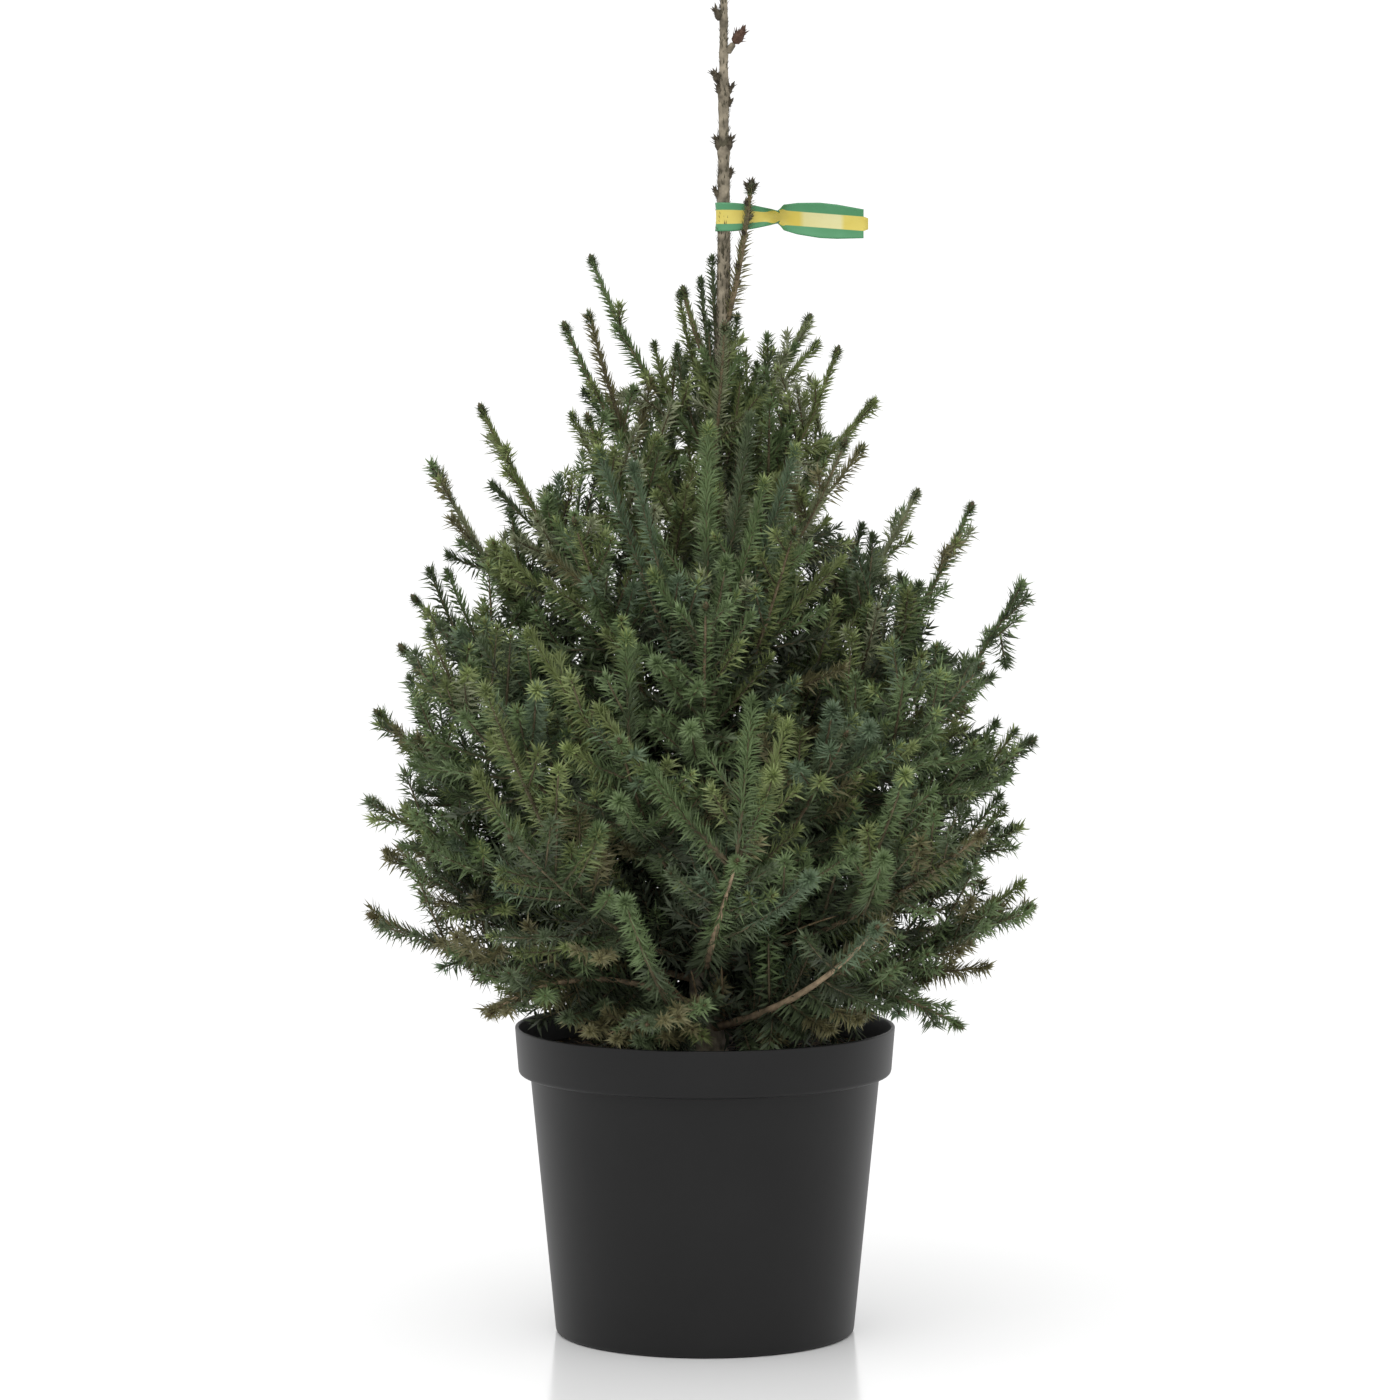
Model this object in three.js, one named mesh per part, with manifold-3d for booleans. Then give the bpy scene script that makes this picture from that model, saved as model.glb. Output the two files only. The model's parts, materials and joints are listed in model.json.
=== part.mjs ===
// A young Serbian spruce in a round nursery pot, built as separate solids: the pot, its soil, the
// trunk, the low boughs, one mass of needle shoots for each limb, and the ribbon tied to the leader.
// Millimetres, +Z up, origin at the centre of the pot's flat underside, seen from -Y in front.
import * as THREE from "three";
import { mergeVertices } from "three/addons/utils/BufferGeometryUtils.js";
import Module from "manifold-3d";

const wasm = await Module();
wasm.setup();

// Driving dimensions
const GAP = 0.3; // clearance between neighbouring solids
const LIMB_GAP = 0.5; // the same along a limb, whose cut ends aren't quite parallel
const ROUND_SIDES = 40; // sides of the pot and the soil

const POT = {
  height: 229,
  rimRadius: 141.2, // outside, at the lip
  collarRadius: 138.8, // outside, at the collar's lower edge
  collarHeight: 36, // from the lip down to the step
  bodyRadius: 129.8, // outside, just under the step
  baseRadius: 111.2,
  wall: 2.8,
  floor: 3,
  edge: 3.5, // rounding of the lip, the collar and the foot
};
const SOIL_LEVEL = POT.height - 22;

const TRUNK = {
  tip: 1008,
  lean: 13.7, // how far the leader stands to the right of the pot's axis
  leanFrom: 520,
  leanTo: 790,
  flareRadius: 19,
  flareHeight: 11, // over which the flare falls to a third
  footRadius: 12.5,
  tipRadius: 2.4,
  taper: 0.85, // 1 for an even taper, less for one that is quicker at the foot
  sides: 8,
  steps: 20,
  crowding: 1.25, // steps lie closer together towards the foot
};
const TRUNK_FOOT = SOIL_LEVEL + GAP;

// Buds that stand on the bare leader: height and bearing
const LEADER_BUDS = [
  { height: 972, bearing: 185 },
  { height: 954, bearing: 352 },
  { height: 926, bearing: 180 },
  { height: 918, bearing: 5 },
  { height: 880, bearing: 195 },
  { height: 880, bearing: 345 },
  { height: 857, bearing: 5 },
  { height: 845, bearing: 185 },
];
const BUD = { length: 10, radius: 2.7, lean: 34, sides: 5 };

// Each limb leaves the trunk at one height and ends at another. Bearings are degrees round from +X,
// reach is from the trunk's own axis, and arch lifts the middle of a limb, or lowers it below zero.
// A limb with bare wood at the trunk has a bough of its own; a slender one has narrower shoots.
const WHORLS = [
  {
    name: "skirt",
    bareWood: true,
    limbs: [
      { bearing: 186, reach: 246, from: 236, to: 313, arch: 6 },
      { bearing: 352, reach: 241, from: 243, to: 320, arch: 8 },
      { bearing: 334, reach: 204, from: 230, to: 241, arch: 58, slender: 0.65 },
      { bearing: 305, reach: 211, from: 226, to: 321 },
      { bearing: 256, reach: 168, from: 231, to: 252, arch: 22 },
      { bearing: 214, reach: 186, from: 240, to: 252, arch: 50, slender: 0.65 },
      { bearing: 128, reach: 232, from: 238, to: 306 },
      { bearing: 58, reach: 230, from: 236, to: 304 },
    ],
  },
  {
    name: "lower",
    limbs: [
      { bearing: 168, reach: 243, from: 262, to: 352 },
      { bearing: 14, reach: 238, from: 266, to: 370 },
      { bearing: 276, reach: 210, from: 270, to: 372, bareWood: true },
      { bearing: 92, reach: 235, from: 264, to: 360 },
      { bearing: 234, reach: 232, from: 274, to: 386 },
      { bearing: 326, reach: 238, from: 274, to: 384 },
    ],
  },
  {
    name: "waist",
    limbs: [
      { bearing: 184, reach: 246, from: 294, to: 397 },
      { bearing: 357, reach: 241, from: 310, to: 441 },
      { bearing: 253, reach: 205, from: 312, to: 455 },
      { bearing: 300, reach: 198, from: 316, to: 458 },
      { bearing: 62, reach: 228, from: 308, to: 436 },
      { bearing: 120, reach: 228, from: 304, to: 436 },
    ],
  },
  {
    name: "middle",
    limbs: [
      { bearing: 172, reach: 246, from: 318, to: 458, arch: -10 },
      { bearing: 6, reach: 236, from: 335, to: 554, arch: -25 },
      { bearing: 270, reach: 165, from: 360, to: 548 },
      { bearing: 205, reach: 240, from: 340, to: 515 },
      { bearing: 333, reach: 222, from: 346, to: 502 },
      { bearing: 140, reach: 220, from: 350, to: 522 },
      { bearing: 40, reach: 215, from: 344, to: 520 },
      { bearing: 184, reach: 214, from: 378, to: 546 },
    ],
  },
  {
    name: "shoulder",
    limbs: [
      { bearing: 170, reach: 211, from: 408, to: 642 },
      { bearing: 354, reach: 192, from: 385, to: 614, arch: -35 },
      { bearing: 295, reach: 142, from: 426, to: 600 },
      { bearing: 85, reach: 165, from: 412, to: 612 },
      { bearing: 26, reach: 172, from: 428, to: 621 },
      { bearing: 230, reach: 150, from: 420, to: 606 },
    ],
  },
  {
    name: "upper",
    limbs: [
      { bearing: 187, reach: 174, from: 470, to: 686 },
      { bearing: 8, reach: 115, from: 556, to: 690, arch: 30 },
      { bearing: 218, reach: 118, from: 522, to: 680 },
      { bearing: 114, reach: 112, from: 516, to: 688 },
      { bearing: 322, reach: 118, from: 508, to: 662 },
      { bearing: 60, reach: 105, from: 534, to: 690 },
    ],
  },
  {
    name: "neck",
    slender: 0.8,
    limbs: [
      { bearing: 176, reach: 97, from: 652, to: 795 },
      { bearing: 202, reach: 123, from: 596, to: 746 },
      { bearing: 344, reach: 88, from: 590, to: 728, arch: -20 },
      { bearing: 36, reach: 79, from: 660, to: 752 },
      { bearing: 272, reach: 44, from: 620, to: 746 },
    ],
  },
  {
    name: "top",
    slender: 0.45,
    unbranched: true,
    limbs: [
      { bearing: 334, reach: 22, from: 740, to: 848 },
      { bearing: 195, reach: 30, from: 706, to: 772, slender: 0.8 },
    ],
  },
];

const LIMB = {
  outward: 0.55, // share of the reach at the limb's bend
  rise: 0.26, // share of the rise at the limb's bend, so that the outer part turns up
  wander: 0.05, // sideways wander, as a share of the reach
  thickness: 0.014, // radius at the trunk, as a share of the length
  thinnest: 2.1, // radius at the trunk of the shortest limb
  tipRadius: 0.9,
  boughEnds: 0.25, // share of a bare bough's length where its foliage begins
  boughSides: 6,
  boughSteps: 4,
};

// Side shoots along each limb. The solids carry one of every three, each as wide at its root as the
// finer shoots that branch from it.
const SHOOT = {
  every: 13, // length of limb to one side shoot
  carried: 3,
  first: 0.14,
  last: 0.82,
  spread: 47, // degrees from the limb's own direction
  spreadVaries: 16,
  lift: 18, // degrees above the limb's sideways plane
  liftVaries: 150,
  share: 0.5, // length of a side shoot at the trunk, as a share of its limb
  shrink: 0.36, // loss of length towards the tip, as a share of its limb
  varies: 0.35,
  curl: 0.14, // upward turn of its tip, as a share of its length
  shortest: 26,
  rootHalfWidth: 29,
  tipHalfWidth: 7.5,
  crest: 0.9, // height of a tier above its core, against its half width
  keel: 0.5, // and below it
  narrows: 0.35, // loss of width from the trunk to the limb's tip
  bare: 0.1, // share of a side shoot that is bare at its root
  coreRadius: 1.2,
  coreTip: 0.9,
  tier: 40, // length of shoot to one tier of needles
  sweep: 1.3, // how far a tier's needles lean forward, in tiers
};
const SPACE_MARGIN = 1.2; // kept clear on a mass's own side of the border with the next one
const HEADROOM = 12; // how far a side shoot may rise above its limb's tip
const SHRINK_STEP = 0.78; // a side shoot that leaves its space is tried again at this length
const SHRINK_TRIES = 6;
const TIER_SHARES = [1, 0.82, 0.66, 0.52, 0.4]; // widths that a tier is tried at

const RIBBON = {
  height: 827,
  width: 21,
  thickness: 0.9,
  knot: 41, // from the leader's axis to the knot
  knotWidth: 9,
  flare: 50, // from the leader's axis to where the tail spreads again
  end: 105, // from the leader's axis to the tail's end
  tailWidth: 26,
  endWidth: 22,
  droop: 6,
};

// Materials
const finish = (color, roughness) => new THREE.MeshStandardMaterial({ color, roughness, metalness: 0 });
const MATERIAL = {
  pot: finish(0x2e2e2f, 0.55),
  soil: finish(0x241a12, 0.95),
  bark: finish(0x6b5a45, 0.85),
  needles: finish(0x35492c, 0.6),
  ribbon: finish(0x4f9a68, 0.4),
};

const UP = new THREE.Vector3(0, 0, 1);
const radians = THREE.MathUtils.degToRad;
const mix = THREE.MathUtils.lerp;

// A repeatable number from 0 to 1 for a limb, a shoot on it and a use.
function chance(limb, shoot, use) {
  const wave = Math.sin(limb * 127.1 + shoot * 311.7 + use * 74.7) * 43758.5453;
  return wave - Math.floor(wave);
}

function towards(bearing) {
  return new THREE.Vector3(Math.cos(radians(bearing)), Math.sin(radians(bearing)), 0);
}

// Solids and geometries

// A closed geometry as a solid: shared corners merged, faces that collapsed at a pole dropped.
function solidOf(geometry) {
  const bare = new THREE.BufferGeometry().setAttribute("position", geometry.getAttribute("position"));
  if (geometry.index) bare.setIndex(geometry.index);
  const merged = mergeVertices(bare, 1e-4);
  const corners = merged.index.array;
  const kept = [];
  for (let i = 0; i < corners.length; i += 3) {
    const [a, b, c] = corners.slice(i, i + 3);
    if (a !== b && b !== c && c !== a) kept.push(a, b, c);
  }
  return new wasm.Manifold(
    new wasm.Mesh({
      numProp: 3,
      vertProperties: new Float32Array(merged.attributes.position.array),
      triVerts: new Uint32Array(kept),
    }),
  );
}

// The largest body of a solid, without sealed hollows or loose scraps, as a geometry.
function geometryOf(solid) {
  const bodies = solid.decompose();
  const largest = bodies.reduce((a, b) => (a.volume() > b.volume() ? a : b));
  const mesh = largest.getMesh();
  return new THREE.BufferGeometry()
    .setAttribute("position", new THREE.BufferAttribute(new Float32Array(mesh.vertProperties), 3))
    .setIndex(new THREE.BufferAttribute(new Uint32Array(mesh.triVerts), 1));
}

// Bends a straight piece, which stands along +Y from 0 to 1, along a curve.
function bend(geometry, curve) {
  const place = geometry.getAttribute("position");
  const across = new THREE.Vector3();
  const above = new THREE.Vector3();
  for (let i = 0; i < place.count; i++) {
    const along = THREE.MathUtils.clamp(place.getY(i), 0, 1);
    const point = curve.getPointAt(along);
    const forward = curve.getTangentAt(along);
    across.crossVectors(forward, UP).normalize();
    above.crossVectors(across, forward);
    point.addScaledVector(across, place.getX(i)).addScaledVector(above, place.getZ(i));
    place.setXYZ(i, point.x, point.y, point.z);
  }
  return geometry;
}

// A limb of even taper along a curve.
function taperedLimb(curve, startRadius, endRadius, sides, steps) {
  const straight = new THREE.CylinderGeometry(endRadius, startRadius, 1, sides, steps);
  return bend(straight.translate(0, 0.5, 0), curve);
}

function part(name, geometry, material) {
  const mesh = new THREE.Mesh(geometry, material);
  mesh.name = name;
  return mesh;
}

// A round solid from half its outline, which starts and ends on the axis or closes on itself.
function turned(outline) {
  return new THREE.LatheGeometry(outline, ROUND_SIDES).rotateX(Math.PI / 2);
}

const at = (radius, height) => new THREE.Vector2(radius, height);

// Pot and soil

function buildPot() {
  const step = POT.height - POT.collarHeight;
  const { wall, edge } = POT;
  const outline = [
    at(0, 0),
    at(POT.baseRadius - edge, 0),
    at(POT.baseRadius, edge),
    at(POT.bodyRadius, step),
    at(POT.collarRadius - edge, step + 0.4 * edge),
    at(POT.collarRadius, step + 1.6 * edge),
    at(POT.rimRadius, POT.height - 0.4 * wall),
    at(POT.rimRadius - 0.3 * wall, POT.height),
    at(POT.rimRadius - wall, POT.height - 0.4 * wall),
    at(POT.collarRadius - wall, step + 1.6 * edge),
    at(POT.bodyRadius - wall, step + 0.6 * edge),
    at(POT.baseRadius - wall, POT.floor),
    at(0, POT.floor),
  ];
  return part("pot", turned(outline), MATERIAL.pot);
}

function buildSoil() {
  const step = POT.height - POT.collarHeight;
  const inset = POT.wall + GAP;
  const collarFoot = step + 1.6 * POT.edge;
  const collarSlope = (POT.rimRadius - POT.collarRadius) / (POT.height - collarFoot);
  const top = POT.collarRadius - inset + collarSlope * (SOIL_LEVEL - collarFoot);
  const outline = [
    at(0, POT.floor + GAP),
    at(POT.baseRadius - inset, POT.floor + GAP),
    at(POT.bodyRadius - inset, step + 0.6 * POT.edge + GAP),
    at(POT.collarRadius - inset, collarFoot + GAP),
    at(top, SOIL_LEVEL),
    at(0, SOIL_LEVEL),
  ];
  return part("soil", turned(outline), MATERIAL.soil);
}

// Trunk

function trunkPoint(height) {
  const lean = TRUNK.lean * THREE.MathUtils.smoothstep(height, TRUNK.leanFrom, TRUNK.leanTo);
  return new THREE.Vector3(lean, 0, height);
}

function trunkRadius(height) {
  const share = THREE.MathUtils.clamp((height - TRUNK_FOOT) / (TRUNK.tip - TRUNK_FOOT), 0, 1);
  const flare = (TRUNK.flareRadius - TRUNK.footRadius) * Math.exp((TRUNK_FOOT - height) / TRUNK.flareHeight);
  return mix(TRUNK.footRadius, TRUNK.tipRadius, Math.pow(share, TRUNK.taper)) + flare;
}

// The trunk as a solid, made fatter all round where its neighbours are to be cut clear of it.
function trunkSolid(fatter = 0) {
  const straight = new THREE.CylinderGeometry(1, 1, 1, TRUNK.sides, TRUNK.steps).translate(0, 0.5, 0);
  straight.rotateX(Math.PI / 2);
  const place = straight.getAttribute("position");
  for (let i = 0; i < place.count; i++) {
    const along = THREE.MathUtils.clamp(place.getZ(i), 0, 1);
    const height = mix(TRUNK_FOOT, TRUNK.tip, Math.pow(along, TRUNK.crowding));
    const centre = trunkPoint(height);
    const radius = trunkRadius(height) + fatter;
    place.setXYZ(i, centre.x + radius * place.getX(i), radius * place.getY(i), height);
  }
  return solidOf(straight);
}

function budSolid(height, bearing, lean) {
  const outline = [
    at(0, -0.5 * BUD.length),
    at(0.55 * BUD.radius, -0.5 * BUD.length),
    at(BUD.radius, 0.5 * BUD.length),
    at(0, BUD.length),
  ];
  const foot = trunkPoint(height).addScaledVector(towards(bearing), 0.8 * trunkRadius(height));
  const aim = towards(bearing).multiplyScalar(Math.sin(radians(lean)));
  aim.addScaledVector(UP, Math.cos(radians(lean)));
  const turn = new THREE.Quaternion().setFromUnitVectors(new THREE.Vector3(0, 1, 0), aim);
  const bud = new THREE.LatheGeometry(outline, BUD.sides).applyQuaternion(turn);
  return solidOf(bud.translate(...foot.toArray()));
}

function buildTrunk() {
  const buds = LEADER_BUDS.map(({ height, bearing }) => budSolid(height, bearing, BUD.lean));
  const crownBud = budSolid(TRUNK.tip - 0.3 * BUD.length, 0, 0);
  const whole = wasm.Manifold.union([trunkSolid(), crownBud, ...buds]);
  return part("trunk", geometryOf(whole), MATERIAL.bark);
}

// Limbs

function limbCurve(limb, number) {
  const start = trunkPoint(limb.from);
  const tip = trunkPoint(limb.to).addScaledVector(towards(limb.bearing), limb.reach);
  const bendPoint = start.clone().lerp(tip, LIMB.outward);
  bendPoint.z = limb.from + LIMB.rise * (limb.to - limb.from) + limb.arch;
  const wander = LIMB.wander * limb.reach * (2 * chance(number, 0, 1) - 1);
  bendPoint.addScaledVector(towards(limb.bearing + 90), wander);
  return new THREE.QuadraticBezierCurve3(start, bendPoint, tip);
}

// The stretch of a curve between two shares of its length, as a smooth curve of its own.
function stretch(curve, from, to) {
  const points = [0, 0.25, 0.5, 0.75, 1].map((share) => curve.getPointAt(mix(from, to, share)));
  return new THREE.CatmullRomCurve3(points);
}

const LIMBS = WHORLS.flatMap(({ name, limbs, ...shared }) =>
  limbs.map((limb, i) => ({ slender: 1, arch: 0, ...shared, ...limb, label: `${name}_${i + 1}` })),
);
LIMBS.forEach((limb, number) => {
  limb.number = number;
  limb.curve = limbCurve(limb, number);
  limb.length = limb.curve.getLength();
  limb.radius = Math.max(LIMB.thinnest, LIMB.thickness * limb.length);
  limb.axis = limb.curve.getSpacedPoints(40);
  limb.top = Math.max(...limb.axis.map((spot) => spot.z));
});

function nearestOnAxis(limb, point) {
  return Math.min(...limb.axis.map((spot) => spot.distanceToSquared(point)));
}

// A point is in a limb's own space if it lies nearer to that limb than to any other, no further out
// and hardly higher than its tip, clear of the trunk, and neither in the soil nor at the pot's wall.
function inOwnSpace(limb, point) {
  const clear = 2 * SPACE_MARGIN;
  const own = Math.sqrt(nearestOnAxis(limb, point)) + clear;
  if (LIMBS.some((other) => other !== limb && nearestOnAxis(other, point) < own * own)) return false;
  const fromTrunk = trunkPoint(point.z).sub(point).length();
  if (fromTrunk > limb.reach + clear || point.z > limb.top + HEADROOM) return false;
  if (fromTrunk < trunkRadius(point.z) + clear) return false;
  const fromAxis = Math.hypot(point.x, point.y);
  if (fromAxis > POT.rimRadius + clear) return true;
  const inMouth = fromAxis < POT.collarRadius - POT.wall - clear;
  return point.z > (inMouth ? SOIL_LEVEL : POT.height) + clear;
}

// The three corners of a tier of needles round a point of a curve: one above, two at the sides.
function tierCorners(curve, along, halfWidth) {
  const forward = curve.getTangentAt(along);
  const across = new THREE.Vector3().crossVectors(forward, UP).normalize();
  const above = new THREE.Vector3().crossVectors(across, forward);
  const corners = [
    [0, SHOOT.crest],
    [-1, -SHOOT.keel],
    [1, -SHOOT.keel],
  ];
  return corners.map(([side, height]) =>
    curve
      .getPointAt(along)
      .addScaledVector(across, side * halfWidth)
      .addScaledVector(above, height * halfWidth),
  );
}

// The widest that a tier may be without leaving its limb's space, or 0.
function fittedHalfWidth(limb, curve, along, wanted) {
  const inside = (point) => inOwnSpace(limb, point);
  const fits = (share) => tierCorners(curve, along, share * wanted).every(inside);
  return wanted * (TIER_SHARES.find(fits) ?? 0);
}

// A shoot along a curve: a slim three-sided core, bare at first, with tiers of needles that stand
// forward out of it, as wide as their limb's space allows and narrower towards the tip.
function needleShoot(limb, curve, startRadius, bare, rootHalfWidth) {
  const tiers = Math.max(2, Math.round(((1 - bare) * curve.getLength()) / SHOOT.tier));
  const tier = (1 - bare) / tiers;
  const core = (along) => mix(startRadius, SHOOT.coreTip, along);
  const outline = [at(0, 0), at(startRadius, 0)];
  for (let i = 0; i < tiers; i++) {
    const root = bare + i * tier;
    const ends = Math.min(root + SHOOT.sweep * tier, 0.97);
    const wanted = limb.slender * mix(rootHalfWidth, SHOOT.tipHalfWidth, i / (tiers - 1));
    const halfWidth = fittedHalfWidth(limb, curve, ends, wanted);
    outline.push(at(core(root), root));
    if (halfWidth > 0) outline.push(at(halfWidth, ends));
  }
  outline.push(at(0, 1));
  const shoot = new THREE.LatheGeometry(outline, 3);
  const place = shoot.getAttribute("position");
  for (let i = 0; i < place.count; i++) {
    const inTier = Math.hypot(place.getX(i), place.getZ(i)) > 1.01 * startRadius;
    if (!inTier) continue;
    const height = place.getZ(i) > 0 ? SHOOT.crest : 2 * SHOOT.keel;
    place.setXYZ(i, place.getX(i) / Math.sin(Math.PI / 3), place.getY(i), height * place.getZ(i));
  }
  return solidOf(bend(shoot, curve));
}

// The curve of one side shoot: it leaves its limb forwards, to one side and a little up.
function sideCurve(limb, shoot, count, shrunk) {
  const varied = (use) => chance(limb.number, shoot, use) - 0.5;
  const along = mix(SHOOT.first, SHOOT.last, (shoot + 0.5 + 0.4 * varied(2)) / count);
  const start = limb.curve.getPointAt(along);
  const forward = limb.curve.getTangentAt(along);
  const across = new THREE.Vector3().crossVectors(forward, UP).normalize();
  const above = new THREE.Vector3().crossVectors(across, forward);
  const spread = radians(SHOOT.spread + SHOOT.spreadVaries * varied(3));
  const lift = radians(SHOOT.lift + SHOOT.liftVaries * varied(4));
  const side = shoot % 2 ? 1 : -1;
  const aim = forward
    .multiplyScalar(Math.cos(spread))
    .addScaledVector(across, side * Math.sin(spread) * Math.cos(lift))
    .addScaledVector(above, Math.sin(spread) * Math.sin(lift));
  const share = (SHOOT.share - SHOOT.shrink * along) * (1 + SHOOT.varies * varied(5));
  const length = shrunk * share * limb.length;
  if (length < SHOOT.shortest) return null;
  const middle = start.clone().addScaledVector(aim, length / 2);
  const tip = start.clone().addScaledVector(aim, length).addScaledVector(UP, SHOOT.curl * length);
  return { along, curve: new THREE.QuadraticBezierCurve3(start, middle, tip) };
}

// One side shoot, shortened until its tip and middle keep to its limb's space.
function sideShoot(limb, shoot, count, begins) {
  for (let tries = 0; tries < SHRINK_TRIES; tries++) {
    const grown = sideCurve(limb, shoot, count, Math.pow(SHRINK_STEP, tries));
    if (!grown || grown.along < begins) return null;
    const checked = [0.5, 0.75, 1].map((along) => grown.curve.getPointAt(along));
    if (!checked.every((point) => inOwnSpace(limb, point))) continue;
    const rootHalfWidth = SHOOT.rootHalfWidth * (1 - SHOOT.narrows * grown.along);
    return needleShoot(limb, grown.curve, SHOOT.coreRadius, SHOOT.bare, rootHalfWidth);
  }
  return null;
}

// The limb's own shoot, from the trunk or its bough's end to its tip.
function mainShoot(limb, begins) {
  const startRadius = mix(limb.radius, LIMB.tipRadius, begins);
  const bare = SHOOT.first / (begins > 0 ? 4 : 2);
  return needleShoot(limb, stretch(limb.curve, begins, 1), startRadius, bare, SHOOT.rootHalfWidth);
}

// The foliage of one limb: the limb's outer stem and the side shoots that keep to its space.
function buildFoliage(limb, clearTrunk) {
  const begins = limb.bareWood ? LIMB.boughEnds + LIMB_GAP / limb.length : 0;
  const count = limb.unbranched ? 0 : Math.round(limb.length / SHOOT.every);
  const shoots = [mainShoot(limb, begins)];
  for (let shoot = 1; shoot < count; shoot += SHOOT.carried) {
    const grown = sideShoot(limb, shoot, count, begins);
    if (grown) shoots.push(grown);
  }
  const whole = wasm.Manifold.union(shoots).subtract(clearTrunk);
  return part(`foliage_${limb.label}`, geometryOf(whole), MATERIAL.needles);
}

function buildBough(limb, clearTrunk) {
  const curve = stretch(limb.curve, 0, LIMB.boughEnds);
  const endRadius = mix(limb.radius, LIMB.tipRadius, LIMB.boughEnds);
  const bough = taperedLimb(curve, limb.radius, endRadius, LIMB.boughSides, LIMB.boughSteps);
  return part(`bough_${limb.label}`, geometryOf(solidOf(bough).subtract(clearTrunk)), MATERIAL.bark);
}

// Ribbon: a strip looped round the leader, pinched at its knot, with a flared tail to the right.
function buildRibbon() {
  const centre = trunkPoint(RIBBON.height);
  const inner = trunkRadius(RIBBON.height - RIBBON.width) + GAP;
  const outer = inner + RIBBON.thickness;
  const meet = Math.asin(RIBBON.thickness / outer);

  const plan = new THREE.Shape();
  plan.absarc(0, 0, outer, meet, 2 * Math.PI - meet, false);
  plan.lineTo(RIBBON.end, -RIBBON.thickness);
  plan.lineTo(RIBBON.end, RIBBON.thickness);
  plan.closePath();
  plan.holes.push(new THREE.Path().absarc(0, 0, inner, 0, 2 * Math.PI, true));
  const flat = { bevelEnabled: false, curveSegments: 8 };
  const loop = new THREE.ExtrudeGeometry(plan, { ...flat, depth: 2 * RIBBON.width });
  loop.translate(centre.x, 0, RIBBON.height - RIBBON.width);

  const { knot, end, droop } = RIBBON;
  const half = RIBBON.width / 2;
  const neck = RIBBON.tailWidth / 3;
  const low = -RIBBON.endWidth / 2 - droop;
  const high = RIBBON.endWidth / 2 - droop;
  const front = new THREE.Shape();
  front.moveTo(-2 * outer, -half);
  front.lineTo(knot / 2, -half);
  front.lineTo(knot, -RIBBON.knotWidth / 2);
  front.lineTo(RIBBON.flare, -neck);
  front.quadraticCurveTo(mix(RIBBON.flare, end, 0.6), -2 * neck, end, low);
  front.lineTo(end, high);
  front.quadraticCurveTo(mix(RIBBON.flare, end, 0.4), 1.7 * neck, RIBBON.flare, neck);
  front.lineTo(knot, RIBBON.knotWidth / 2);
  front.lineTo(knot / 2, half);
  front.lineTo(-2 * outer, half);
  const face = new THREE.ExtrudeGeometry(front, { ...flat, depth: 4 * outer });
  face.rotateX(Math.PI / 2).translate(centre.x, 2 * outer, RIBBON.height);

  return part("ribbon", geometryOf(solidOf(loop).intersect(solidOf(face))), MATERIAL.ribbon);
}

// The whole plant
const spruce = new THREE.Group();
spruce.name = "potted_spruce";
const clearTrunk = trunkSolid(GAP);
spruce.add(buildPot(), buildSoil(), buildTrunk(), buildRibbon());
for (const limb of LIMBS) {
  if (limb.bareWood) spruce.add(buildBough(limb, clearTrunk));
  spruce.add(buildFoliage(limb, clearTrunk));
}

export default spruce;
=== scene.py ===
# %% [markdown]
# # A potted Serbian spruce
# The part is a young spruce in a black nursery pot. Its solids come ready sized from the packed
# frame. This lesson swaps them for finer surfaces, one piece at a time, and gives each a finish.

# %% Frame
import json
from types import SimpleNamespace

import bpy
import numpy as np
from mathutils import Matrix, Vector

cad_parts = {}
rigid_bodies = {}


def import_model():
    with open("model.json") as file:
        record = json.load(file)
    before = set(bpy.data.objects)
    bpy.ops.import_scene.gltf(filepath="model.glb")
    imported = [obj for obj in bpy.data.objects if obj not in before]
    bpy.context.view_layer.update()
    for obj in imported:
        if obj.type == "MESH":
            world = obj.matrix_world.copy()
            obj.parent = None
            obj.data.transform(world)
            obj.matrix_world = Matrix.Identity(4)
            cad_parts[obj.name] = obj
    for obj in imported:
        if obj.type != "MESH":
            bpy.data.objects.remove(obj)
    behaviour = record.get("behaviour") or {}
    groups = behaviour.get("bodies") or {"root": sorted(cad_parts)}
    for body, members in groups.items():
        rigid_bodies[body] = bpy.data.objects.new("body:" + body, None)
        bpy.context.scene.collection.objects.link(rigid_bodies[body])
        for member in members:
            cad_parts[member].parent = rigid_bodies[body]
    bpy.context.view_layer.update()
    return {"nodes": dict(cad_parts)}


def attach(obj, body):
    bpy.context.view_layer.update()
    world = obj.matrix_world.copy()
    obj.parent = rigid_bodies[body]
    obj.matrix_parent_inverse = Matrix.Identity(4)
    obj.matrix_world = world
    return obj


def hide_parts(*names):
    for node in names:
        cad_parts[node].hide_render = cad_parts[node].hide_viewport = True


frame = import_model()
FOLIAGE = sorted(name for name in frame["nodes"] if name.startswith("foliage_"))
BOUGHS = sorted(name for name in frame["nodes"] if name.startswith("bough_"))
print(len(FOLIAGE), "masses of foliage and", len(BOUGHS), "bare boughs to replace")

# %% [markdown]
# ## From arrays to meshes
# A plant has far too many needles to place by hand, and an instancer would leave nothing behind in
# an export. So every piece here is worked out as arrays of points and triangles with numpy. Points
# that fall together, at a seam or at a pole, are joined so that each surface closes.

# %% Meshes from arrays
UP = np.array([0.0, 0.0, 1.0])
BACK = np.array([0.0, 1.0, 0.0])


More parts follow.
